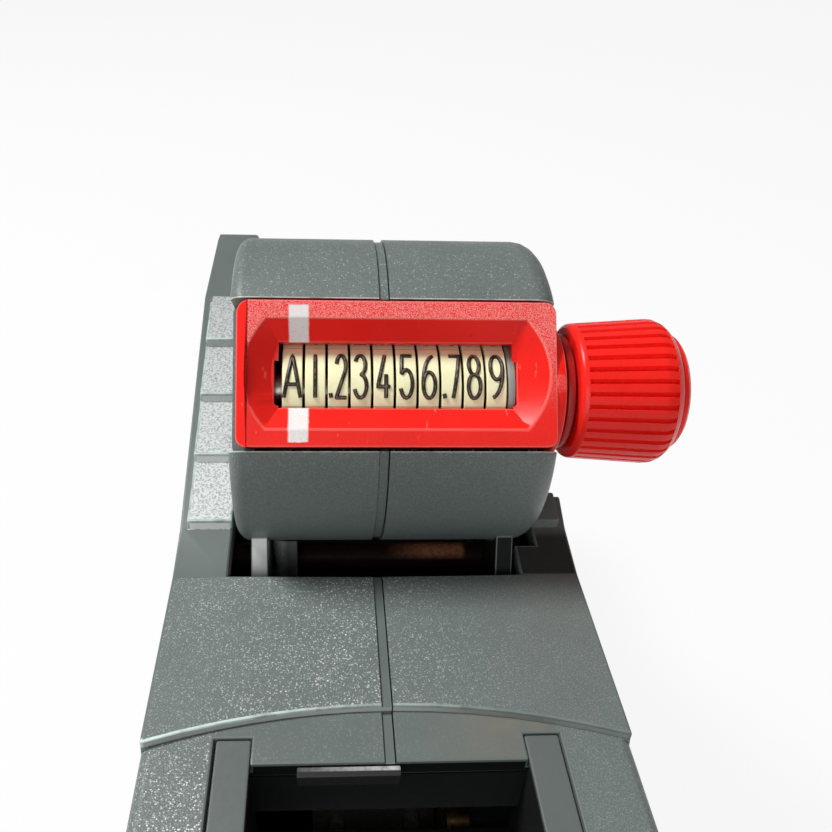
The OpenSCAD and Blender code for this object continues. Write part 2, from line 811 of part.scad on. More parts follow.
module selector_knob() {
    color("#d0231f") translate([0, wheel_axis[0], wheel_axis[1]]) rotate([0, 90, 0]) difference() {
        rotate_extrude() polygon(outline([
            [0, knob_x, 0], [knob_r - 0.5, knob_x, 0.6], [knob_r, knob_end - 3, 0.8],
            [knob_r - 0.9, knob_end - 1.7, 0.4], [knob_r - 1.3, knob_end - 1.7, 0],
            [knob_r - 1.3, knob_end, 0.9], [0, knob_end, 0]]));
        translate([0, 0, knob_x - 1]) cylinder(r = shaft_r + seat_gap, h = knob_l - 1.9);
        for (i = [0:flute_count - 1])
            rotate([0, 0, 360 * i / flute_count]) translate([knob_r + 0.1, 0, knob_x - 1])
                cylinder(r = flute_r, h = knob_l - 2, $fn = 6);
    }
}

// Lever: the path of the drive pin, seen from the lever, gives its forks
function pin_in_lever(share) =
    about(about(drive_pin, swing_axis, -head_swing * share), lever_axis, lever_squeeze * share);

lever_outline = outline([
    [lever_tail, lever_low_tail, 4],
    [lever_start - 3, lever_low_front, 12],
    [lever_axis[0] - 18, 10, 10],
    [lever_axis[0] + 5, 15, 8],
    [drive_pin[0] + 5, drive_pin[1] - 8, 3],
    [drive_pin[0] + 4.6, drive_pin[1] + 1.6, 1.5],
    [drive_pin[0] - 6, drive_pin[1] + 1.2, 2],
    [lever_axis[0] - 8, pawl_axis[1] + 4, 2],
    [pawl_axis[0] - 4, pawl_axis[1] + 3, 3],
    [pawl_axis[0] - 8, 22, 6],
    [lever_start, 15.6, 20],
    [lever_tail - 1, lever_low_tail + lever_d, 4]
]);

spring_y = body_back - 14;

module hand_lever() {
    color("#4d5654") difference() {
        across(-lever_out, lever_out) polygon(lever_outline);
        // between the side plates, in front of the grip
        block([-lever_in, lever_start, -1], [lever_in, beyond, beyond]);
        // hollow of the grip, open at the top
        across(-lever_in, lever_in)
            polygon([[lever_start + 1, lever_low_front + lever_web],
                     [lever_start + 1, beyond], [lever_tail + 2.4, beyond],
                     [lever_tail + 2.4, lever_low_tail + lever_web + 0.3]]);
        bar(lever_axis, pin_r + fit_gap, -beyond, beyond);
        hull() {
            bar(pin_in_lever(-1.5), pin_r + part_gap, -beyond, beyond);
            bar(pin_in_lever(0), pin_r + part_gap, -beyond, beyond);
            bar(pin_in_lever(0.5), pin_r + part_gap, -beyond, beyond);
            bar(pin_in_lever(1), pin_r + part_gap, -beyond, beyond);
        }
    }
    color("#4d5654") bar(pawl_axis, pin_r, well_w / 2 - 5, lever_in + 0.4);
}

// Lever spring: one unbroken tube wound round an upright axis
curl_rings = 8;
tube_sides = 6;
spring_rings = spring_curls * curl_rings;
spring_r = spring_d / 2 - spring_wire / 2;
spring_seat_low = lever_low_front - 0.5 + lever_web + spring_wire / 2;
spring_seat_high = handle_low_front + 0.4 - spring_wire / 2;
spring_pitch = (spring_seat_high - spring_seat_low) / spring_curls;
function spring_point(i) =
    let (a = 360 * i / curl_rings)
    [spring_r * cos(a), spring_y + spring_r * sin(a), spring_seat_low + spring_pitch * i / curl_rings];
spring_points = [
    for (i = [0:spring_rings], s = [0:tube_sides - 1])
        let (a = 360 * i / curl_rings, b = 360 * s / tube_sides, w = spring_wire / 2)
        spring_point(i) + w * [cos(b) * cos(a), cos(b) * sin(a), sin(b)]
];
spring_faces = concat(
    [[for (s = [0:tube_sides - 1]) s]],
    [[for (s = [tube_sides - 1:-1:0]) spring_rings * tube_sides + s]],
    [for (i = [0:spring_rings - 1], s = [0:tube_sides - 1])
        let (a = i * tube_sides + s, b = i * tube_sides + (s + 1) % tube_sides)
        each [[a, a + tube_sides, b], [b, a + tube_sides, b + tube_sides]]]
);
echo(spring_gap = min([for (i = [0:spring_rings - curl_rings])
    norm(spring_point(i) - spring_point(i + curl_rings))]) - spring_wire);

module lever_spring() {
    color("silver") polyhedron(spring_points, spring_faces, convexity = 8);
}

// Feed
feed_half = well_w / 2 - 4.9;
feed_row = feed_half - 2.5;
feed_pin_r = 0.8;
feed_pin_h = 1.3;
ratchet_from = feed_half + 0.1;
ratchet_w = 2.8;
module feed_wheel() {
    color("#d8d4c4") difference() {
        union() {
            bar(lever_axis, feed_r, -feed_half, feed_half);
            for (x = [-feed_row, feed_row], i = [0:feed_pins - 1])
                translate([x, lever_axis[0], lever_axis[1]]) rotate([360 * i / feed_pins, 0, 0])
                    cylinder(r = feed_pin_r, h = feed_r + feed_pin_h);
        }
        bar(lever_axis, pin_r + fit_gap, -beyond, beyond);
    }
}

module ratchet_wheel() {
    color("#b08d57") difference() {
        across(ratchet_from, ratchet_from + ratchet_w) translate(lever_axis) polygon([
            for (i = [0:ratchet_teeth - 1])
                let (a = 360 * i / ratchet_teeth, b = a + 360 / ratchet_teeth)
                each [ratchet_r * [cos(a), sin(a)], (ratchet_r - 1.4) * [cos(b - 2), sin(b - 2)]]
        ]);
        bar(lever_axis, pin_r + fit_gap, -beyond, beyond);
    }
}

pawl_tip = lever_axis + (ratchet_r + part_gap) * [cos(112), sin(112)];
module feed_pawl() {
    color("#b08d57") difference() {
        across(ratchet_from + 0.2, ratchet_from + ratchet_w - 0.2) {
            translate(pawl_axis) circle(r = 2.8);
            polygon([pawl_axis + [-0.5, 2.75], pawl_axis + [1.5, -2.3], pawl_tip + [-0.8, 0.6],
                     pawl_tip, pawl_tip + [0.8, 1.2], pawl_tip + [-1, 2.4]]);
        }
        bar(pawl_axis, pin_r + fit_gap, -beyond, beyond);
    }
}

// Base plate: a shallow tray hinged under the nose
module base_plate() {
    side_in = inner_w - part_gap;
    plate_back = body_back + 2;
    color("#4d5654") difference() {
        union() {
            block([-half_w + 0.2, plate_back, 0], [half_w - 0.2, hinge_axis[0] - 5.3, base_t]);
            block([-side_in, plate_back, 0], [side_in, hinge_axis[0], base_t]);
            bar(hinge_axis, knuckle_r, -side_in, side_in);
        }
        block([-side_in + 1, plate_back + 2, base_floor], [side_in - 1, hinge_axis[0] - 8, beyond]);
        block([-side_in - 2, plate_back - 1, base_floor], [side_in + 2, lever_axis[0] + 20, beyond]);
        block([-beyond, hinge_axis[0] - 4, -1], [beyond, beyond, hinge_axis[1] - knuckle_r]);
        bar(hinge_axis, hinge_r + fit_gap, -beyond, beyond);
        // cross grooves of the underside
        for (i = [0:5])
            block([-12, plate_back + 10 + i * 6, -1], [12, plate_back + 12 + i * 6, 0.6]);
    }
}

left_shell();
right_shell();
well_liner();
label_guide_bar();
roll_leaf();
platen();
platen_pad();
peel_plate();
applicator_axle();
applicator_roller();
feed_axle();
head_pivot_pin();
base_hinge_pin();
shell_screws();
head_left_shell();
head_right_shell();
head_strap();
head_drive_pin();
window_bezel();
for (i = [0:band_count - 1])
    print_band(i);
band_wheels();
band_spacer();
print_bar();
ink_holder();
ink_roller();
knob_collar();
selector_shaft();
selector_knob();
hand_lever();
lever_spring();
feed_wheel();
ratchet_wheel();
feed_pawl();
base_plate();
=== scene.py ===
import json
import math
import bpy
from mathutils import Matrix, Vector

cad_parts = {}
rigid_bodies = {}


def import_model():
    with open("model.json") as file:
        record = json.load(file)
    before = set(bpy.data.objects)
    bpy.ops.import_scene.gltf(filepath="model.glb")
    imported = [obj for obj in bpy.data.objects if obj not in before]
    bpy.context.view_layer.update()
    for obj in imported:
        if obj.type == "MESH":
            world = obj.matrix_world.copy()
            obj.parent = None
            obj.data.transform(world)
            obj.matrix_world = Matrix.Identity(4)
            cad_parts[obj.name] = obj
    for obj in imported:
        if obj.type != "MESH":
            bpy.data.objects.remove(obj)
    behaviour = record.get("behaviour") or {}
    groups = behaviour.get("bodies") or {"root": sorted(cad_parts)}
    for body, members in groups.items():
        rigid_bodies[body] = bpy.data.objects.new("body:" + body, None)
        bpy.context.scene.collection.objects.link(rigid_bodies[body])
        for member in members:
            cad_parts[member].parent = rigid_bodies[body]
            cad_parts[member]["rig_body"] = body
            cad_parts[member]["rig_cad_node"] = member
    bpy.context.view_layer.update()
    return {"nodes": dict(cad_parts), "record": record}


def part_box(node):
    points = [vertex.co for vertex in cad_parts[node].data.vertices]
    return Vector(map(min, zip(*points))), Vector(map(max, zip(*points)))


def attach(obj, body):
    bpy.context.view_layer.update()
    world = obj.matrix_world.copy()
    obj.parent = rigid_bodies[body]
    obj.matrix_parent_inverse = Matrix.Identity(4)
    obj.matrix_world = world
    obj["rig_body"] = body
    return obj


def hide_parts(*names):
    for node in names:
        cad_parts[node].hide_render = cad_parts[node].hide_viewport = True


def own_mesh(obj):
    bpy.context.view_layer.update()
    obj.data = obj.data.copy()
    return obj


bl_info = {
    "name": "Price labeller",
    "version": (1, 0, 0),
    "blender": (4, 5, 0),
    "location": "3D View > Sidebar > Labeller",
    "description": "Dresses the price labeller: moulded shells, print head, selector, lever, feed and stage",
    "category": "Object",
}

from functools import partial, reduce

import bmesh
import bpy
from mathutils import Matrix, Vector

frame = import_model()
MM = 0.001

# Places that the pieces share, read from the frame
KNOB_LOW, KNOB_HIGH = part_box("selector_knob")
COLLAR_LOW, COLLAR_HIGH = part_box("knob_collar")
SHAFT_LOW, SHAFT_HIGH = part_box("selector_shaft")
SPRING_LOW, SPRING_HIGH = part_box("lever_spring")
BAR_LOW, BAR_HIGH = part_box("print_bar")
BAND_LOW, BAND_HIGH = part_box("print_band_1")
LINER_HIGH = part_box("well_liner")[1]
WHEEL = Vector((0.0, (SHAFT_LOW.y + SHAFT_HIGH.y) / 2, (SHAFT_LOW.z + SHAFT_HIGH.z) / 2))
PRINT_BAR = Vector((0.0, (BAR_LOW.y + BAR_HIGH.y) / 2, (BAR_LOW.z + BAR_HIGH.z) / 2))
SHAFT_R = (SHAFT_HIGH.z - SHAFT_LOW.z) / 2
BAND_R = BAND_HIGH.z - WHEEL.z
BAR_BAND_R = PRINT_BAR.z - BAND_LOW.z
BAND_COUNT = 10
BAND_NODES = ["print_band_%d" % (i + 1) for i in range(BAND_COUNT)]
SLOT_OF = {part["node"]: part["material_slot"] for part in frame["record"]["subparts"]}

# The window's face: it leans back from upright, and its middle lies a little above the wheels' axis
FACE_TILT = math.radians(51.0)
FACE_OUT = Vector((0.0, -math.sin(FACE_TILT), math.cos(FACE_TILT)))
FACE_UP = Vector((0.0, math.cos(FACE_TILT), math.sin(FACE_TILT)))
FACE_DEPTH = 6.3 * MM
WINDOW_RISE = 0.8 * MM

# The sunk strip beside the shells' seam, the panel's step, and the zone at the seam whose edges stay sharp
STRIP_LEFT = -0.5 * MM
STRIP_RIGHT = 0.38 * MM
PANEL_STEP = 0.8 * MM
SEAM_ZONE = 0.6 * MM

# The shells' left side, the crease behind the panel, bowed back at the sides, and the front of the well
SHELL_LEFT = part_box("left_shell")[0].x
CREASE = 15.2 * MM
CREASE_SWEEP = 3.2 * MM
WELL_FRONT = -20.0 * MM

# The well's left rail, and the flat of the right cheek
RAIL_BACK = -70 * MM
RAIL_FRONT = -19 * MM
RIGHT_FLAT = 13.4 * MM

# The left cheek's steps
STEP_BACK = 6.0 * MM
STEP_FRONT = 36.4 * MM
STEP_FOOT = 52.9 * MM
STEP_RISE = 2.9 * MM
RISER_SHARE = 1.1 / 2.9
BORDER = 0.8 * MM
CHANNEL_LEFT = -14.9 * MM

# The head's barrel, the arms beneath it, and the bezel with its painted marks
BARREL = Vector((0.0, 15.4 * MM, 64.1 * MM))
BARREL_R = 15.8 * MM
ARM_FOOT = 50.8 * MM
ARM_TOP = 54.2 * MM
BEZEL_HALF = 6.6 * MM
MARK_NEAR = 2.9 * MM
MARK_FAR = 6.15 * MM
MARK_DEPTH = 4.6 * MM

# The bands' characters, from left to right, those that carry a point, and their widths
SHOWN = "A123456789"
DOTTED = "27"
LETTER_WIDTH = 1.5 * MM
DIGIT_WIDTH = 1.15 * MM
DOTTED_WIDTH = 1.0 * MM
DOTTED_SHIFT = 0.28 * MM

# Widths of the roundings along edges, from the thin lip to broad mouldings
LIP_ROUND = 0.08 * MM
SHEET_ROUND = 0.1 * MM
FINE_ROUND = 0.12 * MM
PIN_ROUND = 0.15 * MM
PLAIN_ROUND = 0.2 * MM
BROAD_ROUND = 0.3 * MM

# The knob's mesh lines to each flute, and how deep the lines beside a groove's middle lie
FLUTE_LINES = 10
FLUTE_SIDE = 0.8

# The lever spring: points to each curl, and how close its end curls lie
CURL_POINTS = 24
CURL_CROWDING = 0.6

# The range that most values of a noise lie in
NOISE_RANGE = (0.3, 0.7)


def srgb(red, green, blue):
    """Linear colour of a screen colour given from 0 to 255."""
    def linear(value):
        value = value / 255
        return value / 12.92 if value <= 0.04045 else ((value + 0.055) / 1.055) ** 2.4
    return (linear(red), linear(green), linear(blue))


# Tones of painted highlights, glints and sheen, of a tan tint, of scuffs, wear and white paint, and of the
# stage
PAINTED_TREAD_SHEEN = (0.7, 0.72, 0.72)
PAINTED_RISER_HIGHLIGHT = (0.9, 0.92, 0.92)
PAINTED_GLINT = (0.86, 0.88, 0.87)
CREASE_WEAR_AND_HIGHLIGHT = (0.62, 0.65, 0.64)
PAINTED_ARM_HIGHLIGHT = (0.9, 0.92, 0.91)
TAN_TINT = srgb(124, 118, 106)
PAINTED_GRAIN_SHEEN = (1.0, 0.5, 0.47)
SCUFF_RED = (0.9, 0.4, 0.36)
MARK_WHITE = (0.86, 0.85, 0.83)
FLOOR_GREY = (0.86, 0.86, 0.86, 1.0)
WHITE = (1.0, 1.0, 1.0, 1.0)


class LabellerLooks(bpy.types.PropertyGroup):
    """Sizes and colours of the finished pieces"""

    body_colour: bpy.props.FloatVectorProperty(
        name="Body grey", description="Colour of the moulded shells", subtype="COLOR", size=3,
        min=0.0, max=1.0, default=srgb(101, 110, 107))
    smooth_colour: bpy.props.FloatVectorProperty(
        name="Smooth grey", description="Colour of the ungrained mouldings", subtype="COLOR", size=3,
        min=0.0, max=1.0, default=srgb(96, 104, 101))
    red_colour: bpy.props.FloatVectorProperty(
        name="Red", description="Colour of the bezel and the knob", subtype="COLOR", size=3,
        min=0.0, max=1.0, default=srgb(250, 36, 28))
    band_colour: bpy.props.FloatVectorProperty(
        name="Cream", description="Colour of the print bands", subtype="COLOR", size=3,
        min=0.0, max=1.0, default=srgb(255, 252, 205))
    edge_round: bpy.props.FloatProperty(
        name="Edge rounding", description="Width of the rounding along moulded edges",
        subtype="DISTANCE", unit="LENGTH", min=0.0, default=0.25 * MM)
    mark_left: bpy.props.FloatProperty(
        name="Mark from", description="Left end of the white marks on the bezel",
        subtype="DISTANCE", unit="LENGTH", default=-8.65 * MM)
    mark_right: bpy.props.FloatProperty(
        name="Mark to", description="Right end of the white marks on the bezel",
        subtype="DISTANCE", unit="LENGTH", default=-6.88 * MM)
    flutes: bpy.props.IntProperty(
        name="Flutes", description="Number of grooves round the knob", min=12, max=60, default=36)
    flute_depth: bpy.props.FloatProperty(
        name="Flute depth", description="Depth of a groove of the knob",
        subtype="DISTANCE", unit="LENGTH", min=0.0, default=0.42 * MM)
    spring_wire: bpy.props.FloatProperty(
        name="Spring wire", description="Thickness of the lever spring's wire",
        subtype="DISTANCE", unit="LENGTH", min=0.0004, default=1.1 * MM)
    spring_curls: bpy.props.IntProperty(
        name="Spring curls", description="Number of curls of the lever spring", min=3, max=12, default=8)
    character_height: bpy.props.FloatProperty(
        name="Character height", description="Height of the raised characters on the bands",
        subtype="DISTANCE", unit="LENGTH", min=0.001, default=4.1 * MM)
    stroke_radius: bpy.props.FloatProperty(
        name="Stroke", description="Half the width of a character's strokes",
        subtype="DISTANCE", unit="LENGTH", min=0.00005, default=0.19 * MM)
    dots: bpy.props.BoolVectorProperty(
        name="Dots", description="Bands whose characters carry a point", size=BAND_COUNT,
        default=[shown in DOTTED for shown in SHOWN])
    characters: bpy.props.StringProperty(
        name="Characters", description="Character that each band shows, from left to right",
        default=SHOWN)


class LabellerStage(bpy.types.PropertyGroup):
    """Camera and light"""

    camera_place: bpy.props.FloatVectorProperty(
        name="Camera place", description="Where the camera stands, behind and above the panel",
        subtype="TRANSLATION", unit="LENGTH", size=3, default=(-0.00583, -0.05917, 0.11272))
    camera_pitch: bpy.props.FloatProperty(
        name="Camera pitch", description="How far the camera looks down", subtype="ANGLE",
        default=math.radians(34.80))
    camera_yaw: bpy.props.FloatProperty(
        name="Camera yaw", description="How far the camera looks to the right", subtype="ANGLE",
        default=math.radians(3.77))
    camera_roll: bpy.props.FloatProperty(
        name="Camera roll", description="How far the camera leans", subtype="ANGLE",
        default=math.radians(2.34))
    camera_lens: bpy.props.FloatProperty(
        name="Lens", description="Focal length on a 36 mm sensor", min=10.0, default=36.0)
    camera_shift: bpy.props.FloatProperty(
        name="Shift", description="Sideways shift that places the object in the frame", default=0.0613)
    key_power: bpy.props.FloatProperty(
        name="Key light", description="Power of the large lamp above", unit="POWER", min=0.0, default=3.0)
    fill_power: bpy.props.FloatProperty(
        name="Fill light", description="Power of the lamp behind the camera", unit="POWER", min=0.0,
        default=0.7)


# Shader building blocks; each adds its nodes to the tree of the sockets that it is given

def new_material(name):
    """A fresh node material and its Principled shader."""
    material = bpy.data.materials.new(name)
    material.use_nodes = True
    return material, material.node_tree.nodes["Principled BSDF"]


def shader_node(near, kind, **values):
    """Adds a node beside another node or socket, and sets its properties, or else its sockets, by name."""
    node = near.id_data.nodes.new(kind)
    for key, value in values.items():
        if hasattr(node, key):
            setattr(node, key, value)
        else:
            node.inputs[key.replace("_", " ")].default_value = value
    return node


def join(output, target):
    target.id_data.links.new(output, target)


def new_finish(name):
    """A new material, its shader, and the place on the object that its patterns follow."""
    material, shader = new_material(name)
    return material, shader, shader_node(shader, "ShaderNodeTexCoord").outputs["Object"]


def noise(place, size, detail=2.0):
    """Noise whose blotches are about this size, in metres."""
    node = shader_node(place, "ShaderNodeTexNoise", Scale=1 / size, Detail=detail)
    join(place, node.inputs["Vector"])
    return node.outputs["Fac"]


def spread(value, low, high, to_low=0.0, to_high=1.0):
    """Maps a range of a value to another, held at its ends."""
    node = shader_node(value, "ShaderNodeMapRange", From_Min=low, From_Max=high, To_Min=to_low,
                       To_Max=to_high)
    join(value, node.inputs["Value"])
    return node.outputs["Result"]


def wander(pattern, low=0.0, high=1.0):
    """Maps the range that most of a noise lies in to another."""
    return spread(pattern, *NOISE_RANGE, low, high)


def below(value, low, high):
    """A mask that falls from one to zero between two limits."""
    return spread(value, low, high, 1.0, 0.0)


def combine(operation, first, second=0.0):
    """A Math node on two outputs, or an output and a number."""
    numbers = (int, float)
    node = shader_node(second if isinstance(first, numbers) else first, "ShaderNodeMath", operation=operation)
    for socket, value in zip(node.inputs, (first, second)):
        if isinstance(value, numbers):
            socket.default_value = value
        else:
            join(value, socket)
    return node.outputs[0]


def all_of(*masks):
    """The product of masks and numbers."""
    return reduce(partial(combine, "MULTIPLY"), masks)


def any_of(*masks):
    """The largest of some masks."""
    return reduce(partial(combine, "MAXIMUM"), masks)


def inside(value, low, high, soft=0.01 * MM):
    """A mask that is one between two limits, with soft ends."""
    return all_of(spread(value, low - soft, low + soft), below(value, high - soft, high + soft))


def distance_along(place, direction, origin):
    """Distance of a place from an origin, measured along a direction."""
    node = shader_node(place, "ShaderNodeVectorMath", operation="DOT_PRODUCT")
    join(place, node.inputs[0])
    node.inputs[1].default_value = direction
    return combine("SUBTRACT", node.outputs["Value"], direction.dot(origin))


def distance_from_axis(first, second):
    """The distance from an axis, from two distances that are square to it and to each other."""
    return combine("SQRT", combine("ADD", all_of(first, first), all_of(second, second)))


def split_vector(vector):
    node = shader_node(vector, "ShaderNodeSeparateXYZ")
    join(vector, node.inputs["Vector"])
    return node.outputs["X"], node.outputs["Y"], node.outputs["Z"]


def facing(place):
    """The sideways, forward and upward parts of the surface's direction."""
    return split_vector(shader_node(place, "ShaderNodeTexCoord").outputs["Normal"])


def stretched(place, share):
    """A place that draws patterns out along Y and Z."""
    node = shader_node(place, "ShaderNodeMapping", Scale=(1.0, share, share))
    join(place, node.inputs["Vector"])
    return node.outputs["Vector"]


def glints(place, size, share, radius):
    """Small round glints of many strengths, one in some of the cells of a grid of this size."""
    cells = shader_node(place, "ShaderNodeTexVoronoi", Scale=1 / size)
    join(place, cells.inputs["Vector"])
    split = shader_node(place, "ShaderNodeSeparateColor")
    join(cells.outputs["Color"], split.inputs["Color"])
    chosen = combine("LESS_THAN", split.outputs["Red"], share)
    near = below(cells.outputs["Distance"], radius * 0.4, radius)
    return all_of(chosen, near, combine("POWER", split.outputs["Green"], 2.0))


def shade(colour, factor):
    return tuple(min(1.0, max(0.0, channel * factor)) for channel in colour)


def mix_colour(share, first, second):
    """Mixes two colours, each an output or a tuple, by a share."""
    node = shader_node(share, "ShaderNodeMix", data_type="RGBA")
    join(share, node.inputs["Factor"])
    for socket, value in ((node.inputs[6], first), (node.inputs[7], second)):
        if isinstance(value, tuple):
            socket.default_value = (*value, 1.0)
        else:
            join(value, socket)
    return node.outputs[2]


def mottled(place, size, detail, colour, dark, pale):
    """A colour that wanders between two shades of itself, in blotches of about this size."""
    blotch = wander(noise(place, size, detail))
    return mix_colour(blotch, shade(colour, dark), shade(colour, pale))


def set_surface(shader, tint, roughness, relief, depth, strength):
    """Sets a shader's colour and roughness, and a bump from a relief."""
    join(tint, shader.inputs["Base Color"])
    join(roughness, shader.inputs["Roughness"])
    node = shader_node(shader, "ShaderNodeBump", Strength=strength, Distance=depth)
    join(relief, node.inputs["Height"])
    join(node.outputs["Normal"], shader.inputs["Normal"])


def blend_shaders(share, first, second, target):
    """Mixes two shaders by a share, and joins the mix to a socket."""
    blend = shader_node(target, "ShaderNodeMixShader")
    join(share, blend.inputs["Fac"])
    join(first, blend.inputs[1])
    join(second, blend.inputs[2])
    join(blend.outputs["Shader"], target)


# Finishes

def moulded_plastic(name, colour, grain_size, grain_depth, roughness, shine=0.5):
    """Moulded plastic with an eroded grain and faint blotches."""
    material, shader, place = new_finish(name)
    tint = mottled(place, 14 * MM, 2.0, colour, 0.9, 1.08)
    grain = noise(place, grain_size, 3.0)
    tint = mix_colour(spread(grain, 0.4, 0.7, 0.0, 0.35), tint, shade(colour, 1.3))
    dull = wander(noise(place, 5 * MM, 4.0), roughness - 0.06, roughness + 0.08)
    set_surface(shader, tint, dull, grain, grain_depth, 0.6)
    shader.inputs["Specular IOR Level"].default_value = shine
    return material


def crease_mask(place):
    """A mask along the crease behind the panel."""
    across, along, height = split_vector(place)
    share = all_of(across, 1 / SHELL_LEFT)
    sweep = all_of(share, share, CREASE_SWEEP)
    off = combine("ABSOLUTE", combine("ADD", combine("ADD", along, CREASE), sweep))
    return all_of(below(off, 0.35 * MM, 0.5 * MM), spread(height, LINER_HIGH.z, LINER_HIGH.z + 0.1 * MM))


def step_masks(place):
    """Masks of the left cheek's treads inside their border, of its risers' painted highlight, and of the
    painted shadow line above each.
    """
    across, along, height = split_vector(place)
    forward, upward = facing(place)[1:]
    zone = all_of(inside(across, SHELL_LEFT + BORDER, CHANNEL_LEFT + 0.3 * MM, 0.05 * MM),
                  inside(along, STEP_BACK - 0.1 * MM, STEP_FRONT, 0.05 * MM),
                  spread(height, STEP_FOOT - 0.1 * MM, STEP_FOOT))
    treads = all_of(zone, spread(upward, 0.9, 0.94))
    risers = all_of(zone, below(forward, -0.8, -0.7))
    steps = combine("DIVIDE", combine("SUBTRACT", height, STEP_FOOT), STEP_RISE)
    # A thin band near the top of each riser takes a painted shadow line; the lower risers take a stronger
    # painted highlight.
    line = spread(combine("FRACT", steps), RISER_SHARE * 0.72, RISER_SHARE * 0.82)
    low = spread(height, STEP_FOOT, STEP_FOOT + 3.5 * STEP_RISE, 1.0, 0.25)
    return treads, all_of(risers, low, combine("SUBTRACT", 1.0, line)), all_of(risers, line)


def painted_shade_mask(place):
    """A mask of painted shade: walls below the panel and at the well's front, and the right cheek's flat
    under the head.
    """
    across, along, height = split_vector(place)
    forward, upward = facing(place)[1:]
    below_panel = all_of(inside(across, SHELL_LEFT + 1.4 * MM, -SHELL_LEFT - 1.4 * MM, 0.1 * MM),
                         below(height, LINER_HIGH.z - 0.8 * MM, LINER_HIGH.z - 0.2 * MM),
                         below(forward, 0.3, 0.5),
                         spread(along, 0.05 * MM, 0.3 * MM))
    well_wall = all_of(below(forward, -0.8, -0.6),
                       inside(along, WELL_FRONT - 0.3 * MM, WELL_FRONT + 0.2 * MM),
                       below(height, LINER_HIGH.z - 0.1 * MM, LINER_HIGH.z))
    right_flat = all_of(spread(across, RIGHT_FLAT, RIGHT_FLAT + 0.2 * MM),
                        spread(upward, 0.8, 0.9),
                        inside(along, 0.1 * MM, STEP_BACK, 0.1 * MM),
                        spread(height, STEP_FOOT - 0.2 * MM, STEP_FOOT, 0.8, 0.0))
    return any_of(below_panel, well_wall, right_flat)


def painted_glints_mask(place, sparkle):
    """Painted glints of two sizes, densest on the left of the middle and on the well's left rail."""
    across, along = split_vector(place)[:2]
    lit_side = all_of(spread(across, -19 * MM, -5 * MM, 0.6, 1.25),
                      spread(across, -0.5 * MM, 1 * MM, 1.0, 0.6),
                      spread(across, 0.0, 14 * MM, 1.0, 0.2))
    rail = all_of(inside(along, RAIL_BACK, RAIL_FRONT, 2 * MM),
                  below(across, -12 * MM, -10 * MM),
                  spread(facing(place)[2], 0.7, 0.8))
    patches = spread(noise(place, 6 * MM), 0.35, 0.65, 0.5, 1.0)
    bright = any_of(glints(place, 0.17 * MM, sparkle, 0.5), glints(place, 0.34 * MM, sparkle * 0.6, 0.33))
    return all_of(bright, patches, combine("ADD", lit_side, rail))


def shell_plastic(name, colour, sparkle):
    """The shells' grained plastic: painted glints on the left, painted highlights and painted shade; it stays
    smooth beside the seam and the head.
    """
    material, shader, place = new_finish(name)
    across, along, height = split_vector(place)
    forward, upward = facing(place)[1:]
    frame_band = all_of(inside(height, LINER_HIGH.z - 1.2 * MM, LINER_HIGH.z + 0.7 * PANEL_STEP),
                        inside(across, -LINER_HIGH.x, LINER_HIGH.x),
                        below(along, -0.05 * MM, 0.0))
    smooth = any_of(inside(across, STRIP_LEFT, STRIP_RIGHT), all_of(frame_band, 0.85))
    treads, risers, riser_shadow_lines = step_masks(place)
    grained = any_of(below(along, -0.15 * MM, 0.0), treads, below(upward, 0.3, 0.5))
    rough = all_of(grained, combine("SUBTRACT", 1.0, smooth))
    tint = mottled(place, 12 * MM, 3.0, colour, 0.93, 1.07)
    grain = all_of(noise(place, 0.13 * MM), rough)
    tint = mix_colour(spread(grain, 0.46, 0.66, 0.0, 0.5), tint, shade(colour, 1.9))
    # Painted sheen: the left cheek's treads are made pale, most on the lowest.
    pale = all_of(treads,
                  spread(noise(place, 0.24 * MM, 3.0), 0.36, 0.56, 0.3, 1.0),
                  spread(height, STEP_FOOT, STEP_FOOT + 4 * STEP_RISE, 1.0, 0.62))
    tint = mix_colour(pale, tint, PAINTED_TREAD_SHEEN)
    # Painted highlight on the risers, and a painted shadow line under each tread's edge.
    tint = mix_colour(risers, tint, PAINTED_RISER_HIGHLIGHT)
    tint = mix_colour(riser_shadow_lines, tint, shade(colour, 0.2))
    # Painted glints: pale specks on the grain, densest on the left.
    tint = mix_colour(all_of(painted_glints_mask(place, sparkle), rough), tint, PAINTED_GLINT)
    # The wall below the crease is made pale as wear and painted highlight, fainter to the right.
    crease_wear_and_highlight = all_of(crease_mask(place),
                         below(forward, -0.7, -0.5),
                         spread(across, -15 * MM, -3 * MM, 0.6, 0.8),
                         spread(across, 1 * MM, 14 * MM, 1.0, 0.35))
    tint = mix_colour(crease_wear_and_highlight, tint, CREASE_WEAR_AND_HIGHLIGHT)
    # A tan tint on the right of the frame band.
    tan_tint = all_of(frame_band,
                   spread(across, 3 * MM, 11 * MM),
                   spread(noise(place, 2.5 * MM, 4.0), 0.35, 0.65, 0.2, 0.8))
    tint = mix_colour(tan_tint, tint, TAN_TINT)
    # Painted shade: walls below the panel, the well's front wall and the right cheek's flat are darkened and
    # lose most of their shine.
    painted_shade = painted_shade_mask(place)
    tint = mix_colour(painted_shade, tint, shade(colour, 0.08))
    join(spread(painted_shade, 0.0, 1.0, 0.5, 0.08), shader.inputs["Specular IOR Level"])
    dull = wander(noise(place, 4 * MM, 4.0), 0.36, 0.5)
    set_surface(shader, tint, dull, grain, 0.05 * MM, 0.7)
    return material


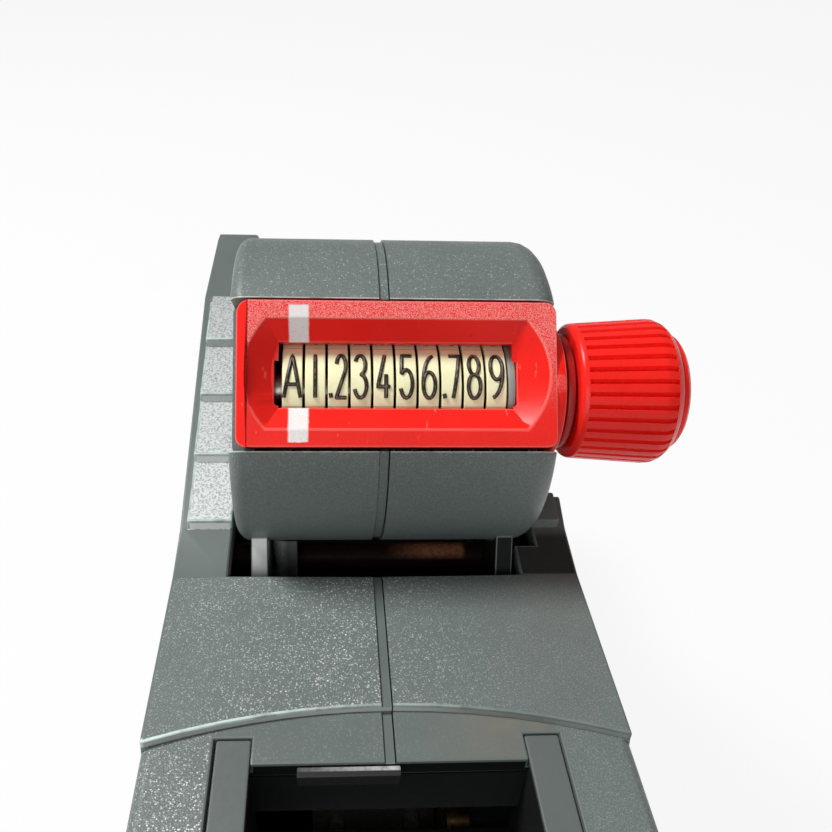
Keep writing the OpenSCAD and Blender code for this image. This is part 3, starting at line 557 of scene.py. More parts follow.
def head_plastic(name, colour):
    """The head's finely eroded plastic with painted glints on top; its arms are in painted shade, the left
    with a painted highlight.
    """
    material, shader, place = new_finish(name)
    across, along, height = split_vector(place)
    tint = mottled(place, 12 * MM, 3.0, colour, 0.94, 1.06)
    grain = noise(place, 0.15 * MM)
    tint = mix_colour(spread(grain, 0.44, 0.66, 0.0, 0.45), tint, shade(colour, 1.8))
    # Painted glints on the barrel's upper half.
    painted_glints = all_of(glints(place, 0.22 * MM, 0.5, 0.45), spread(height, BARREL.z, BARREL.z + 6 * MM))
    tint = mix_colour(painted_glints, tint, shade(colour, 3.2))
    forward = combine("SUBTRACT", along, BARREL.y)
    from_axis = distance_from_axis(forward, combine("SUBTRACT", height, BARREL.z))
    arms = spread(from_axis, BARREL_R + 0.05 * MM, BARREL_R + 0.2 * MM)
    # Painted shade on the arms beneath the barrel, and a painted highlight on the left arm, fading downward.
    tint = mix_colour(arms, tint, shade(colour, 0.1))
    painted_highlight = all_of(arms, below(across, -1 * MM, 1 * MM), spread(height, ARM_FOOT, ARM_TOP, 0.12, 1.0))
    tint = mix_colour(painted_highlight, tint, PAINTED_ARM_HIGHLIGHT)
    join(spread(arms, 0.0, 1.0, 0.5, 0.1), shader.inputs["Specular IOR Level"])
    dull = wander(noise(place, 4 * MM, 4.0), 0.4, 0.52)
    set_surface(shader, tint, dull, grain, 0.04 * MM, 0.6)
    return material


def liner_plastic(name, colour):
    """Smooth plastic of the well's frame strips, with painted shade on the walls inside the well."""
    material, shader, place = new_finish(name)
    tint = mottled(place, 8 * MM, 4.0, colour, 0.95, 1.05)
    # Painted shade: the walls inside the well are darkened.
    inner = below(split_vector(place)[2], LINER_HIGH.z - 0.5 * MM, LINER_HIGH.z - 0.15 * MM)
    tint = mix_colour(inner, tint, shade(colour, 0.1))
    fine = noise(place, 0.5 * MM, 3.0)
    set_surface(shader, tint, wander(fine, 0.36, 0.46), fine, 0.01 * MM, 0.4)
    return material


def pale_edges_wear_and_highlight(shader, place, colour, where, bare):
    """Finishes edges in a colour that is made pale in patches where a mask allows it, as wear and painted
    highlight.
    """
    patches = spread(noise(place, 1.2 * MM, 5.0), 0.3, 0.55, 0.35, 1.0)
    tint = mix_colour(all_of(patches, where), colour, shade(colour, bare))
    fine = noise(place, 0.3 * MM, 3.0)
    set_surface(shader, tint, wander(fine, 0.34, 0.48), fine, 0.02 * MM, 0.5)


def crease_edge(name, colour):
    """The shells' edges: pale along the crease behind the panel and along the left cheek's steps, as wear and
    painted highlight.
    """
    material, shader, place = new_finish(name)
    across, along, height = split_vector(place)
    steps = all_of(inside(across, SHELL_LEFT + BORDER, CHANNEL_LEFT, 0.05 * MM),
                   inside(along, STEP_BACK - 0.3 * MM, STEP_FRONT - 1.0 * MM, 0.05 * MM),
                   spread(height, STEP_FOOT, STEP_FOOT + 0.1 * MM))
    crease = all_of(crease_mask(place), spread(across, -12 * MM, 10 * MM, 1.0, 0.1))
    pale_edges_wear_and_highlight(shader, place, colour, any_of(crease, all_of(steps, 0.7)), 4.6)
    return material


def pocket_edge(name, colour):
    """The head's edges: pale above and below the bezel, as wear and painted highlight."""
    material, shader, place = new_finish(name)
    rise = distance_along(place, FACE_UP, WHEEL + FACE_UP * WINDOW_RISE)
    where = inside(combine("ABSOLUTE", rise), BEZEL_HALF, BEZEL_HALF + 1.2 * MM, 0.2 * MM)
    pale_edges_wear_and_highlight(shader, place, colour, where, 4.0)
    return material


def bezel_plastic(name, colour, mark_left, mark_right):
    """Red plastic: a grained face with a painted sheen, smooth slopes round the window, and two white painted
    marks.
    """
    material, shader, place = new_finish(name)
    depth = distance_along(place, FACE_OUT, WHEEL)
    rise = distance_along(place, FACE_UP, WHEEL + FACE_UP * WINDOW_RISE)
    face = spread(depth, FACE_DEPTH - 0.12 * MM, FACE_DEPTH - 0.04 * MM)
    grain = all_of(noise(place, 0.1 * MM), face)
    tint = mottled(place, 9 * MM, 3.0, colour, 0.9, 1.06)
    # Painted sheen: the face's grain is lightened to pink, most towards the top.
    grain_sheen = all_of(spread(grain, 0.4, 0.62, 0.0, 0.62), spread(rise, -3.5 * MM, 3.5 * MM, 0.03, 1.0))
    tint = mix_colour(grain_sheen, tint, PAINTED_GRAIN_SHEEN)
    scuff = spread(noise(stretched(place, 0.25), 0.5 * MM, 4.0), 0.68, 0.76, 0.0, 0.5)
    tint = mix_colour(scuff, tint, SCUFF_RED)
    wobble = wander(noise(place, 0.6 * MM), -0.03 * MM, 0.03 * MM)
    across = combine("ADD", split_vector(place)[0], wobble)
    from_middle = combine("ADD", combine("ABSOLUTE", rise), wobble)
    paint = all_of(inside(across, mark_left, mark_right, 0.09 * MM),
                   inside(from_middle, MARK_NEAR, MARK_FAR, 0.05 * MM),
                   spread(depth, MARK_DEPTH, MARK_DEPTH + 0.1 * MM),
                   spread(noise(place, 0.12 * MM), 0.3, 0.5, 0.8, 1.0))
    tint = mix_colour(paint, tint, MARK_WHITE)
    dull = combine("ADD", wander(noise(place, 3 * MM, 4.0), 0.26, 0.38), all_of(face, 0.12))
    set_surface(shader, tint, dull, grain, 0.04 * MM, 0.7)
    shader.inputs["Specular IOR Level"].default_value = 0.25
    return material


def band_rubber(name, colour, type_pitch):
    """Cream rubber with an ink haze and a score line between the characters."""
    material, shader, place = new_finish(name)
    depth = distance_along(place, FACE_OUT, WHEEL)
    angle = combine("ARCTAN2", distance_along(place, FACE_UP, WHEEL), depth)
    step = type_pitch / BAND_R
    first = math.asin(WINDOW_RISE / BAND_R) - step / 2
    turns = combine("DIVIDE", combine("SUBTRACT", angle, first), step)
    score = spread(combine("FRACT", turns), 0.012, 0.02, 0.55, 0.0)
    haze = spread(noise(place, 1.4 * MM, 5.0), 0.5, 0.8, 0.0, 0.35)
    tint = mix_colour(haze, colour, shade(colour, 0.66))
    tint = mix_colour(score, tint, shade(colour, 0.35))
    fine = noise(place, 0.15 * MM)
    set_surface(shader, tint, wander(fine, 0.4, 0.58), fine, 0.015 * MM, 0.5)
    return material


def type_rubber(name, dark, bare):
    """Inked type: dark on its flanks, with the ink worn thin along the tops of the strokes."""
    material, shader, place = new_finish(name)
    depth = distance_along(place, FACE_OUT, WHEEL)
    from_axis = distance_from_axis(depth, distance_along(place, FACE_UP, WHEEL))
    top = spread(from_axis, BAND_R + 0.165 * MM, BAND_R + 0.185 * MM)
    worn = all_of(top, spread(noise(place, 0.35 * MM, 4.0), 0.44, 0.6))
    fine = noise(place, 0.12 * MM)
    set_surface(shader, mix_colour(worn, dark, bare), wander(fine, 0.35, 0.5), fine, 0.015 * MM, 0.5)
    return material


def turned_metal(name, colour, roughness, streak):
    """Bare metal with fine turning marks across X and dull spots."""
    material, shader, place = new_finish(name)
    marks = noise(stretched(place, 0.12), streak, 4.0)
    spots = spread(noise(place, 3 * MM, 4.0), 0.45, 0.7)
    tint = mix_colour(spots, colour, shade(colour, 0.62))
    set_surface(shader, tint, wander(marks, roughness - 0.08, roughness + 0.12), marks, 0.02 * MM, 0.5)
    shader.inputs["Metallic"].default_value = 1.0
    return material


def metal_with_painted_light(name, colour, places, dim, back=None):
    """Plated metal in painted shade, with a painted highlight between places across; with a back, only ahead
    of it and on top.
    """
    material, shader, place = new_finish(name)
    across, along = split_vector(place)[:2]
    start, full, end = places
    # Painted highlight between the places across; the rest is painted shade.
    painted_highlight = all_of(spread(across, start, full), below(across, end, end + 0.6 * MM))
    if back is not None:
        ahead = spread(along, back - 0.05 * MM, back + 0.05 * MM)
        painted_highlight = all_of(painted_highlight, all_of(spread(facing(place)[2], 0.45, 0.8), ahead))
    fine = noise(place, 0.4 * MM, 4.0)
    tint = mix_colour(painted_highlight, shade(colour, dim), colour)
    tint = mix_colour(spread(fine, 0.45, 0.7, 0.0, 0.5), tint, shade(colour, dim))
    set_surface(shader, tint, wander(fine, 0.42, 0.58), fine, 0.01 * MM, 0.4)
    shader.inputs["Specular IOR Level"].default_value = 0.15
    return material


def soft_rubber(name, colour, roughness):
    """Moulded rubber with a dusty bloom."""
    material, shader, place = new_finish(name)
    bloom = spread(noise(place, 2.5 * MM, 5.0), 0.4, 0.75)
    tint = mix_colour(bloom, colour, shade(colour, 0.8))
    fine = noise(place, 0.12 * MM)
    set_surface(shader, tint, wander(fine, roughness - 0.08, roughness + 0.1), fine, 0.02 * MM, 0.5)
    return material


MATERIALS = {}


def make_materials(looks):
    """Builds each finish once; the operators look them up by the record's slot or by a name of their own."""
    body = tuple(looks.body_colour)
    smooth = tuple(looks.smooth_colour)
    red = tuple(looks.red_colour)
    cream = tuple(looks.band_colour)
    marks = (looks.mark_left, looks.mark_right)
    spacer = srgb(150, 152, 146)
    feed = srgb(205, 201, 188)
    pin_highlight_places = (1.5 * MM, 6 * MM, 9.8 * MM)
    strap_highlight_places = (-14 * MM, -13 * MM, -9.8 * MM)
    lip_highlight_places = (-8.5 * MM, 0.0, 9 * MM)
    MATERIALS.update(
        body_grey=shell_plastic("grained body plastic", body, 0.9),
        body_edge=crease_edge("body edge", body),
        head_grey=head_plastic("eroded head plastic", body),
        head_edge=pocket_edge("head edge", body),
        liner_grey=liner_plastic("smooth liner plastic", smooth),
        lever_grey=shell_plastic("grained lever plastic", shade(body, 0.8), 0.4),
        lever_edge=crease_edge("lever edge", shade(body, 0.9)),
        inner_grey=moulded_plastic("inner plastic", shade(body, 0.22), 0.4 * MM, 0.03 * MM, 0.5),
        bezel_red=bezel_plastic("bezel plastic", red, *marks),
        knob_red=moulded_plastic("knob plastic", red, 0.5 * MM, 0.01 * MM, 0.3, 0.3),
        # The collar is the knob's red at 0.4: painted shade for its place between the bezel's ear and the
        # knob.
        collar_red=moulded_plastic("collar plastic", shade(red, 0.4), 0.5 * MM, 0.01 * MM, 0.4),
        band_cream=band_rubber("band rubber", cream, belt_length() / TYPE_COUNT),
        type_ink=type_rubber("inked type rubber", srgb(30, 20, 14), srgb(128, 108, 80)),
        spacer_grey=moulded_plastic("spacer plastic", spacer, 0.4 * MM, 0.02 * MM, 0.4),
        steel=turned_metal("turned steel", srgb(190, 190, 187), 0.3, 0.25 * MM),
        # The pin, the strap and the lip are in painted shade, with a painted highlight where the light falls.
        copper_pin=metal_with_painted_light("browned copper", srgb(178, 116, 88), pin_highlight_places, 0.05, 5 * MM),
        strap_zinc=metal_with_painted_light("zinc strap", srgb(176, 184, 182), strap_highlight_places, 0.3),
        lip_zinc=metal_with_painted_light("zinc lip", srgb(186, 188, 187), lip_highlight_places, 0.06, WELL_FRONT - 0.5 * MM),
        # The bezel's rounded edges in a paler red: wear and painted highlight.
        bezel_edge=bezel_plastic("bezel edge", srgb(252, 84, 76), *marks),
        roller_rubber=soft_rubber("black rubber", srgb(38, 38, 37), 0.6),
        ink_felt=soft_rubber("inked felt", srgb(24, 24, 30), 0.85),
        feed_white=moulded_plastic("feed wheel plastic", feed, 0.4 * MM, 0.01 * MM, 0.4),
        ratchet_brass=turned_metal("stamped brass", srgb(190, 155, 96), 0.34, 0.3 * MM),
    )


# Mesh building blocks

def select_only(*objects):
    bpy.ops.object.select_all(action="DESELECT")
    for item in objects:
        item.select_set(True)
    bpy.context.view_layer.objects.active = objects[0]


def copy_of(node, label):
    """A merged copy of a CAD node, with its flat faces joined."""
    select_only(frame["nodes"][node])
    bpy.ops.object.duplicate()
    piece = bpy.context.view_layer.objects.active
    piece.name = label
    del piece["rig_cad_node"]
    piece.data.materials.clear()
    bpy.ops.object.mode_set(mode="EDIT")
    bpy.ops.mesh.select_all(action="SELECT")
    bpy.ops.mesh.remove_doubles(threshold=0.001 * MM)
    bpy.ops.mesh.customdata_custom_splitnormals_clear()
    bpy.ops.mesh.dissolve_limited(angle_limit=math.radians(0.4))
    bpy.ops.object.mode_set(mode="OBJECT")
    return piece


NARROW = math.radians(35.0)
STRAIGHT_ON = math.radians(150.0)


def is_crowded(edge, sharp_edges, width):
    """Whether a sharp edge meets another at too narrow an angle for a rounding, or is too short for it."""
    for corner in edge.verts:
        way = edge.other_vert(corner).co - corner.co
        for other in corner.link_edges:
            if other == edge or other not in sharp_edges:
                continue
            lean = way.angle(other.other_vert(corner).co - corner.co, 0.0)
            if lean < NARROW or (way.length < width and lean < STRAIGHT_ON):
                return True
    return False


def mark_for_rounding(piece, sharp, width):
    """Gives a bevel weight to the sharp outer edges that have room for a rounding."""
    mesh = bmesh.new()
    mesh.from_mesh(piece.data)
    weight = mesh.edges.layers.float.new("bevel_weight_edge")
    sharp_edges = {edge for edge in mesh.edges
                   if edge.is_manifold and edge.is_convex and edge.calc_face_angle() > sharp
                   and any(abs(corner.co.x) > SEAM_ZONE for corner in edge.verts)}
    for edge in sharp_edges:
        if not is_crowded(edge, sharp_edges, width):
            edge[weight] = 1.0
    mesh.to_mesh(piece.data)
    mesh.free()


def round_edges(piece, width, sharp, worn=False):
    """Rounds the sharp edges and applies it; worn roundings take the piece's second material, the edge finish
    of wear and painted highlight.
    """
    mark_for_rounding(piece, math.radians(sharp), width)
    select_only(piece)
    bpy.ops.object.modifier_add(type="BEVEL")
    bevel = piece.modifiers[-1]
    bevel.width = width
    bevel.segments = 2
    bevel.limit_method = "WEIGHT"
    bevel.use_clamp_overlap = False
    bevel.material = 1 if worn else -1
    bpy.ops.object.modifier_apply(modifier=bevel.name)


def turned_solid(label, rows, sides):
    """A solid turned about the wheels' axis; its rows give places along X and radii."""
    start, radius = rows[0]
    bpy.ops.object.select_all(action="DESELECT")
    bpy.ops.mesh.primitive_circle_add(vertices=sides, radius=radius, fill_type="NGON",
                                      location=(start, WHEEL.y, WHEEL.z), rotation=(0.0, math.pi / 2, 0.0))
    piece = bpy.context.view_layer.objects.active
    piece.name = label
    bpy.ops.object.transform_apply(location=True, rotation=True, scale=True)
    bpy.ops.object.mode_set(mode="EDIT")
    bpy.ops.mesh.select_all(action="SELECT")
    for (last_x, last_r), (x, r) in zip(rows, rows[1:]):
        bpy.ops.mesh.extrude_region_move(TRANSFORM_OT_translate={"value": (x - last_x, 0.0, 0.0)})
        bpy.ops.transform.resize(value=(1.0, r / last_r, r / last_r), center_override=(x, WHEEL.y, WHEEL.z))
    bpy.ops.mesh.select_all(action="SELECT")
    bpy.ops.mesh.normals_make_consistent(inside=False)
    bpy.ops.object.mode_set(mode="OBJECT")
    return piece


def wire(label, paths, radius, rounds=3):
    """Round wires along paths of points, as one mesh."""
    curve = bpy.data.curves.new(label, "CURVE")
    curve.dimensions = "3D"
    curve.bevel_depth = radius
    curve.bevel_resolution = rounds
    curve.use_fill_caps = True
    for path in paths:
        spline = curve.splines.new("POLY")
        spline.points.add(len(path) - 1)
        for point, place in zip(spline.points, path):
            point.co = (*place, 1.0)
    piece = bpy.data.objects.new(label, curve)
    bpy.context.scene.collection.objects.link(piece)
    select_only(piece)
    bpy.ops.object.convert(target="MESH")
    return piece


# The belt that each print band follows round its wheel and the print bar

def belt_parts():
    """The belt's direction, its lean from it, and the lengths of its two arcs and of one straight run."""
    reach = PRINT_BAR - WHEEL
    lean = math.acos((BAND_R - BAR_BAND_R) / reach.length)
    wheel_arc = BAND_R * (2 * math.pi - 2 * lean)
    bar_arc = BAR_BAND_R * 2 * lean
    run = math.sqrt(reach.length ** 2 - (BAND_R - BAR_BAND_R) ** 2)
    return reach.normalized(), lean, wheel_arc, bar_arc, run


def belt_length():
    wheel_arc, bar_arc, run = belt_parts()[2:]
    return wheel_arc + bar_arc + 2 * run


def belt_place(travel):
    """The belt's outer surface at a travel from the start of its arc on the wheel, with X left at zero."""
    ahead, lean, wheel_arc, bar_arc, run = belt_parts()
    travel = travel % belt_length()

    def spoke(angle):
        return Matrix.Rotation(angle, 3, "X") @ ahead

    if travel < wheel_arc:
        return WHEEL + BAND_R * spoke(lean + travel / BAND_R)
    travel -= wheel_arc
    if travel < run:
        return (WHEEL + BAND_R * spoke(-lean)).lerp(PRINT_BAR + BAR_BAND_R * spoke(-lean), travel / run)
    travel -= run
    if travel < bar_arc:
        return PRINT_BAR + BAR_BAND_R * spoke(-lean + travel / BAR_BAND_R)
    travel -= bar_arc
    return (PRINT_BAR + BAR_BAND_R * spoke(lean)).lerp(WHEEL + BAND_R * spoke(lean), travel / run)


def window_travel():
    """The belt's travel at the middle of the window."""
    ahead, lean = belt_parts()[:2]
    rise = math.asin(WINDOW_RISE / BAND_R)
    middle = FACE_OUT * math.cos(rise) + FACE_UP * math.sin(rise)
    turn = math.atan2(middle.z, middle.y) - math.atan2(ahead.z, ahead.y)
    return BAND_R * (turn % (2 * math.pi) - lean)


# Characters as pen strokes in a cell one wide and one high

def bow(middle, size, start, end, steps=12):
    """Points of an arc, from one angle to another in degrees."""
    angles = [math.radians(start + (end - start) * i / steps) for i in range(steps + 1)]
    return [(middle[0] + size[0] * math.cos(a), middle[1] + size[1] * math.sin(a)) for a in angles]


SIX = [bow((0.92, 0.3), (0.9, 0.69), 96, 180) + bow((0.5, 0.29), (0.48, 0.29), 180, 540, 22)[1:]]
STROKES = {
    "A": [[(0.0, 0.0), (0.5, 1.0), (1.0, 0.0)], [(0.15, 0.29), (0.85, 0.29)]],
    "0": [bow((0.5, 0.5), (0.45, 0.5), 90, 450, 24)],
    "1": [[(0.5, 0.0), (0.5, 1.0)]],
    "2": [bow((0.5, 0.73), (0.42, 0.27), 170, -28) + [(0.06, 0.0), (0.98, 0.0)]],
    "3": [bow((0.46, 0.76), (0.4, 0.24), 160, -80) + bow((0.46, 0.26), (0.48, 0.26), 82, -165)],
    "4": [[(0.6, 1.0), (0.02, 0.25), (1.0, 0.25)], [(0.68, 0.52), (0.68, 0.0)]],
    "5": [[(0.92, 1.0), (0.16, 1.0), (0.1, 0.56)] + bow((0.48, 0.32), (0.48, 0.32), 135, -160)],
    "6": SIX,
    "7": [[(0.02, 1.0), (0.98, 1.0), (0.36, 0.0)]],
    "8": [bow((0.5, 0.76), (0.4, 0.24), -90, 270, 22), bow((0.5, 0.27), (0.48, 0.27), 90, 450, 22)],
    "9": [[(1.0 - u, 1.0 - v) for u, v in stroke] for stroke in SIX],
    " ": [],
}
POINT = [(-0.4, 0.0), (-0.48, 0.1)]
TYPE_COUNT = 11


def finer(stroke, step=0.06):
    """A stroke with points added, so that it bends round the wheel with the band."""
    points = [stroke[0]]
    for (u0, v0), (u1, v1) in zip(stroke, stroke[1:]):
        count = max(1, math.ceil(math.hypot(u1 - u0, v1 - v0) / step))
        points += [(u0 + (u1 - u0) * i / count, v0 + (v1 - v0) * i / count) for i in range(1, count + 1)]
    return points


def type_strokes(character, dotted, middle, travel, height):
    """A character's strokes laid on a belt, standing upright at a travel along it."""
    width = LETTER_WIDTH if character == "A" else DIGIT_WIDTH
    shift = 0.0
    strokes = list(STROKES[character])
    if dotted:
        width = DOTTED_WIDTH
        shift = DOTTED_SHIFT
        strokes.append(POINT)
    return [[belt_place(travel - (v - 0.5) * height) + Vector((middle + shift + (u - 0.5) * width, 0.0, 0.0))
             for u, v in finer(stroke)] for stroke in strokes]


def finish_piece(piece, body, slot, *nodes, smooth=30.0):
    """Smooths a piece, sets what it rides on, and hides the nodes that it stands in for."""
    select_only(piece)
    bpy.ops.object.shade_smooth_by_angle(angle=math.radians(smooth))
    bpy.ops.object.modifier_add(type="WEIGHTED_NORMAL")
    piece.modifiers[-1].keep_sharp = True
    bpy.ops.object.modifier_apply(modifier=piece.modifiers[-1].name)
    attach(piece, body)
    if nodes:
        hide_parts(*nodes)
    return piece


def dressed(node, label, width, finish=None, edge=None, sharp=35.0):
    """A copy of a CAD node with rounded edges; its finish is the record's unless another is named."""
    body = frame["nodes"][node]["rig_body"]
    slot = SLOT_OF[node]
    piece = copy_of(node, label)
    piece.data.materials.append(MATERIALS[finish or slot])
    if edge:
        piece.data.materials.append(MATERIALS[edge])
    round_edges(piece, width, sharp, edge is not None)
    return finish_piece(piece, body, slot, node)


class LABELLER_OT_body_shells(bpy.types.Operator):
    """Rounds and finishes the two body shells and their screws"""

    bl_idname = "labeller.body_shells"
    bl_label = "Body shells"

    def execute(self, context):
        looks = context.scene.labeller_looks
        for node in ("left_shell", "right_shell"):
            dressed(node, node + "_moulding", looks.edge_round, edge="body_edge")
        dressed("shell_screws", "screws_with_cross_slots", FINE_ROUND)
        return {"FINISHED"}


class LABELLER_OT_label_well(bpy.types.Operator):
    """Rounds and finishes the liner of the label well, its guide bar and the tear lip"""

    bl_idname = "labeller.label_well"
    bl_label = "Label well"

    def execute(self, context):
        dressed("well_liner", "well_liner_moulding", PLAIN_ROUND)
        dressed("label_guide_bar", "guide_bar", PIN_ROUND)
        dressed("roll_leaf", "tear_lip", LIP_ROUND, finish="lip_zinc")
        return {"FINISHED"}


class LABELLER_OT_print_head(bpy.types.Operator):
    """Rounds and finishes the head shells, the strap, the drive pin, the print bar and the inking pieces"""

    bl_idname = "labeller.print_head"
    bl_label = "Print head"

    def execute(self, context):
        looks = context.scene.labeller_looks
        for node in ("head_left_shell", "head_right_shell"):
            dressed(node, node + "_moulding", looks.edge_round / 2, finish="head_grey", edge="head_edge")
        dressed("head_strap", "bent_strap", SHEET_ROUND, finish="strap_zinc")
        dressed("head_drive_pin", "drive_pin", PLAIN_ROUND)
        dressed("print_bar", "print_bar_turned", PIN_ROUND)
        dressed("ink_holder", "ink_holder_moulding", PIN_ROUND)
        dressed("ink_roller", "ink_roller_felt", BROAD_ROUND)
        return {"FINISHED"}


class LABELLER_OT_window_bezel(bpy.types.Operator):
    """Rounds and finishes the red bezel round the window"""

    bl_idname = "labeller.window_bezel"
    bl_label = "Window bezel"

    def execute(self, context):
        dressed("window_bezel", "bezel_moulding", PIN_ROUND, edge="bezel_edge", sharp=20.0)
        return {"FINISHED"}


class LABELLER_OT_print_bands(bpy.types.Operator):
    """Finishes the print bands and sets raised type all round each"""

    bl_idname = "labeller.print_bands"
    bl_label = "Print bands"

    def execute(self, context):
        looks = context.scene.labeller_looks
        for index, node in enumerate(BAND_NODES):
            dressed(node, node + "_rubber", FINE_ROUND)
            self.set_type(looks, index, node)
        dressed("band_wheels", "band_wheel_row", SHEET_ROUND)
        dressed("band_spacer", "spacer_washer", SHEET_ROUND)
        return {"FINISHED"}

    def set_type(self, looks, index, node):
        """The shown character stands in the window; the others and a blank follow it round the band."""
        low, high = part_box(node)
        shown = looks.characters[index]
        row = "0123456789 "
        first = row.find(shown)
        paths = []
        for place in range(TYPE_COUNT):
            character = shown if place == 0 else row[(first + place) % len(row)]
            travel = window_travel() + place * belt_length() / TYPE_COUNT
            paths += type_strokes(character, looks.dots[index], (low.x + high.x) / 2, travel,
                                  looks.character_height)
        piece = wire(node + "_type", paths, looks.stroke_radius)
        piece.data.materials.append(MATERIALS["type_ink"])
        finish_piece(piece, frame["nodes"][node]["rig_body"], SLOT_OF[node])


class LABELLER_OT_selector(bpy.types.Operator):
    """Turns the selector's fluted knob and its collar, and finishes the shaft"""

    bl_idname = "labeller.selector"
    bl_label = "Selector"

    def execute(self, context):
        looks = context.scene.labeller_looks
        self.make_knob(looks)
        self.make_collar()
        dressed("selector_shaft", "shaft_turned", PLAIN_ROUND)
        return {"FINISHED"}

    def make_knob(self, looks):
        inner = KNOB_LOW.x
        outer = KNOB_HIGH.x
        wide = (KNOB_HIGH.z - KNOB_LOW.z) / 2
        bore = SHAFT_R + 0.02 * MM
        groove_start = inner + 0.75 * MM
        groove_end = outer - 1.9 * MM
        rows = [
            (SHAFT_HIGH.x + 0.1 * MM, bore),
            (inner, bore),
            (inner, wide - 0.95 * MM),
            (inner + 0.15 * MM, wide - 0.7 * MM),
            (inner + 0.4 * MM, wide - 0.54 * MM),
            (groove_start - 0.02 * MM, wide - 0.5 * MM),
            (groove_start, wide - 0.5 * MM),
            (outer - 3.2 * MM, wide - 0.02 * MM),
            (outer - 2.5 * MM, wide - 0.05 * MM),
            (groove_end, wide - 0.32 * MM),
            (groove_end + 0.02 * MM, wide - 0.32 * MM),
            (outer - 1.5 * MM, wide - 0.62 * MM),
            (outer - 1.2 * MM, wide - 0.95 * MM),
            (outer - 1.0 * MM, wide - 1.25 * MM),
            (outer - 0.93 * MM, wide - 1.52 * MM),
            (outer - 0.86 * MM, wide - 1.42 * MM),
            (outer - 0.5 * MM, wide - 1.5 * MM),
            (outer - 0.2 * MM, wide - 1.85 * MM),
            (outer, wide - 2.6 * MM),
            (outer - 0.05 * MM, wide - 5.0 * MM),
        ]
        sides = looks.flutes * FLUTE_LINES
        piece = turned_solid("fluted_knob", rows, sides)
        self.press_flutes(piece, groove_start, groove_end, looks, sides)
        piece.data.materials.append(MATERIALS["knob_red"])
        finish_piece(piece, frame["nodes"]["selector_knob"]["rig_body"], "knob_red", "selector_knob")

    def press_flutes(self, piece, start, end, looks, sides):
        """Pulls one line of points to each flute in to a groove, and the lines beside it nearly as far."""
        for point in piece.data.vertices:
            if not start - 0.01 * MM < point.co.x < end + 0.01 * MM:
                continue
            spoke = Vector((0.0, point.co.y - WHEEL.y, point.co.z - WHEEL.z))
            if spoke.length < SHAFT_R + 1.0 * MM:
                continue
            line = round(math.atan2(spoke.z, spoke.y) / (2 * math.pi) * sides) % FLUTE_LINES
            depth = {0: 1.0, 1: FLUTE_SIDE, FLUTE_LINES - 1: FLUTE_SIDE}.get(line, 0.0) * looks.flute_depth
            point.co -= spoke.normalized() * depth

    def make_collar(self):
        wide = (COLLAR_HIGH.z - COLLAR_LOW.z) / 2
        bore = SHAFT_R + 0.05 * MM
        middle = (COLLAR_LOW.x + COLLAR_HIGH.x) / 2
        rows = [
            (COLLAR_LOW.x, bore),
            (COLLAR_LOW.x, wide - 0.25 * MM),
            (COLLAR_LOW.x + 0.1 * MM, wide - 0.07 * MM),
            (middle, wide),
            (COLLAR_HIGH.x - 0.1 * MM, wide - 0.07 * MM),
            (COLLAR_HIGH.x, wide - 0.25 * MM),
            (COLLAR_HIGH.x, bore),
        ]
        piece = turned_solid("collar_ring", rows, sides=128)
        piece.data.materials.append(MATERIALS["collar_red"])
        finish_piece(piece, frame["nodes"]["knob_collar"]["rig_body"], "collar_red", "knob_collar")


class LABELLER_OT_lever(bpy.types.Operator):
    """Rounds and finishes the hand lever and winds its spring"""

    bl_idname = "labeller.lever"
    bl_label = "Lever"

    def execute(self, context):
        looks = context.scene.labeller_looks
        dressed("hand_lever", "lever_moulding", BROAD_ROUND, edge="lever_edge")
        self.wind_spring(looks)
        return {"FINISHED"}

    def wind_spring(self, looks):
        """A round wire wound upwards, whose end curls lie close."""
        radius = looks.spring_wire / 2
        middle_y = (SPRING_LOW.y + SPRING_HIGH.y) / 2
        curl = (SPRING_HIGH.x - SPRING_LOW.x) / 2 - radius
        foot = SPRING_LOW.z + radius
        rise = SPRING_HIGH.z - SPRING_LOW.z - 2 * radius
        steps = looks.spring_curls * CURL_POINTS
        path = []
        for step in range(steps + 1):
            share = step / steps
            angle = 2 * math.pi * looks.spring_curls * share
            height = share - CURL_CROWDING * math.sin(2 * math.pi * share) / (2 * math.pi)
            path.append((curl * math.cos(angle), middle_y + curl * math.sin(angle), foot + rise * height))
        piece = wire("spring_wire", [path], radius)
        piece.data.materials.append(MATERIALS["steel"])
        finish_piece(piece, frame["nodes"]["lever_spring"]["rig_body"], "steel", "lever_spring")
        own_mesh(piece)


class LABELLER_OT_feed(bpy.types.Operator):
    """Finishes the feed wheel, its ratchet, the platen, the applicator, the axles and the head's pivot"""

    bl_idname = "labeller.feed"
    bl_label = "Feed"

    def execute(self, context):
        for node in ("feed_wheel", "ratchet_wheel", "feed_pawl", "platen", "platen_pad", "peel_plate"):
            dressed(node, node + "_finished", FINE_ROUND)
        for node in ("applicator_axle", "applicator_roller", "feed_axle", "head_pivot_pin"):
            dressed(node, node + "_turned", PIN_ROUND)
        return {"FINISHED"}


class LABELLER_OT_base(bpy.types.Operator):
    """Rounds and finishes the base plate and its hinge pin"""

    bl_idname = "labeller.base"
    bl_label = "Base plate"

    def execute(self, context):
        dressed("base_plate", "base_plate_moulding", BROAD_ROUND)
        dressed("base_hinge_pin", "base_hinge_pin_turned", PIN_ROUND)
        return {"FINISHED"}


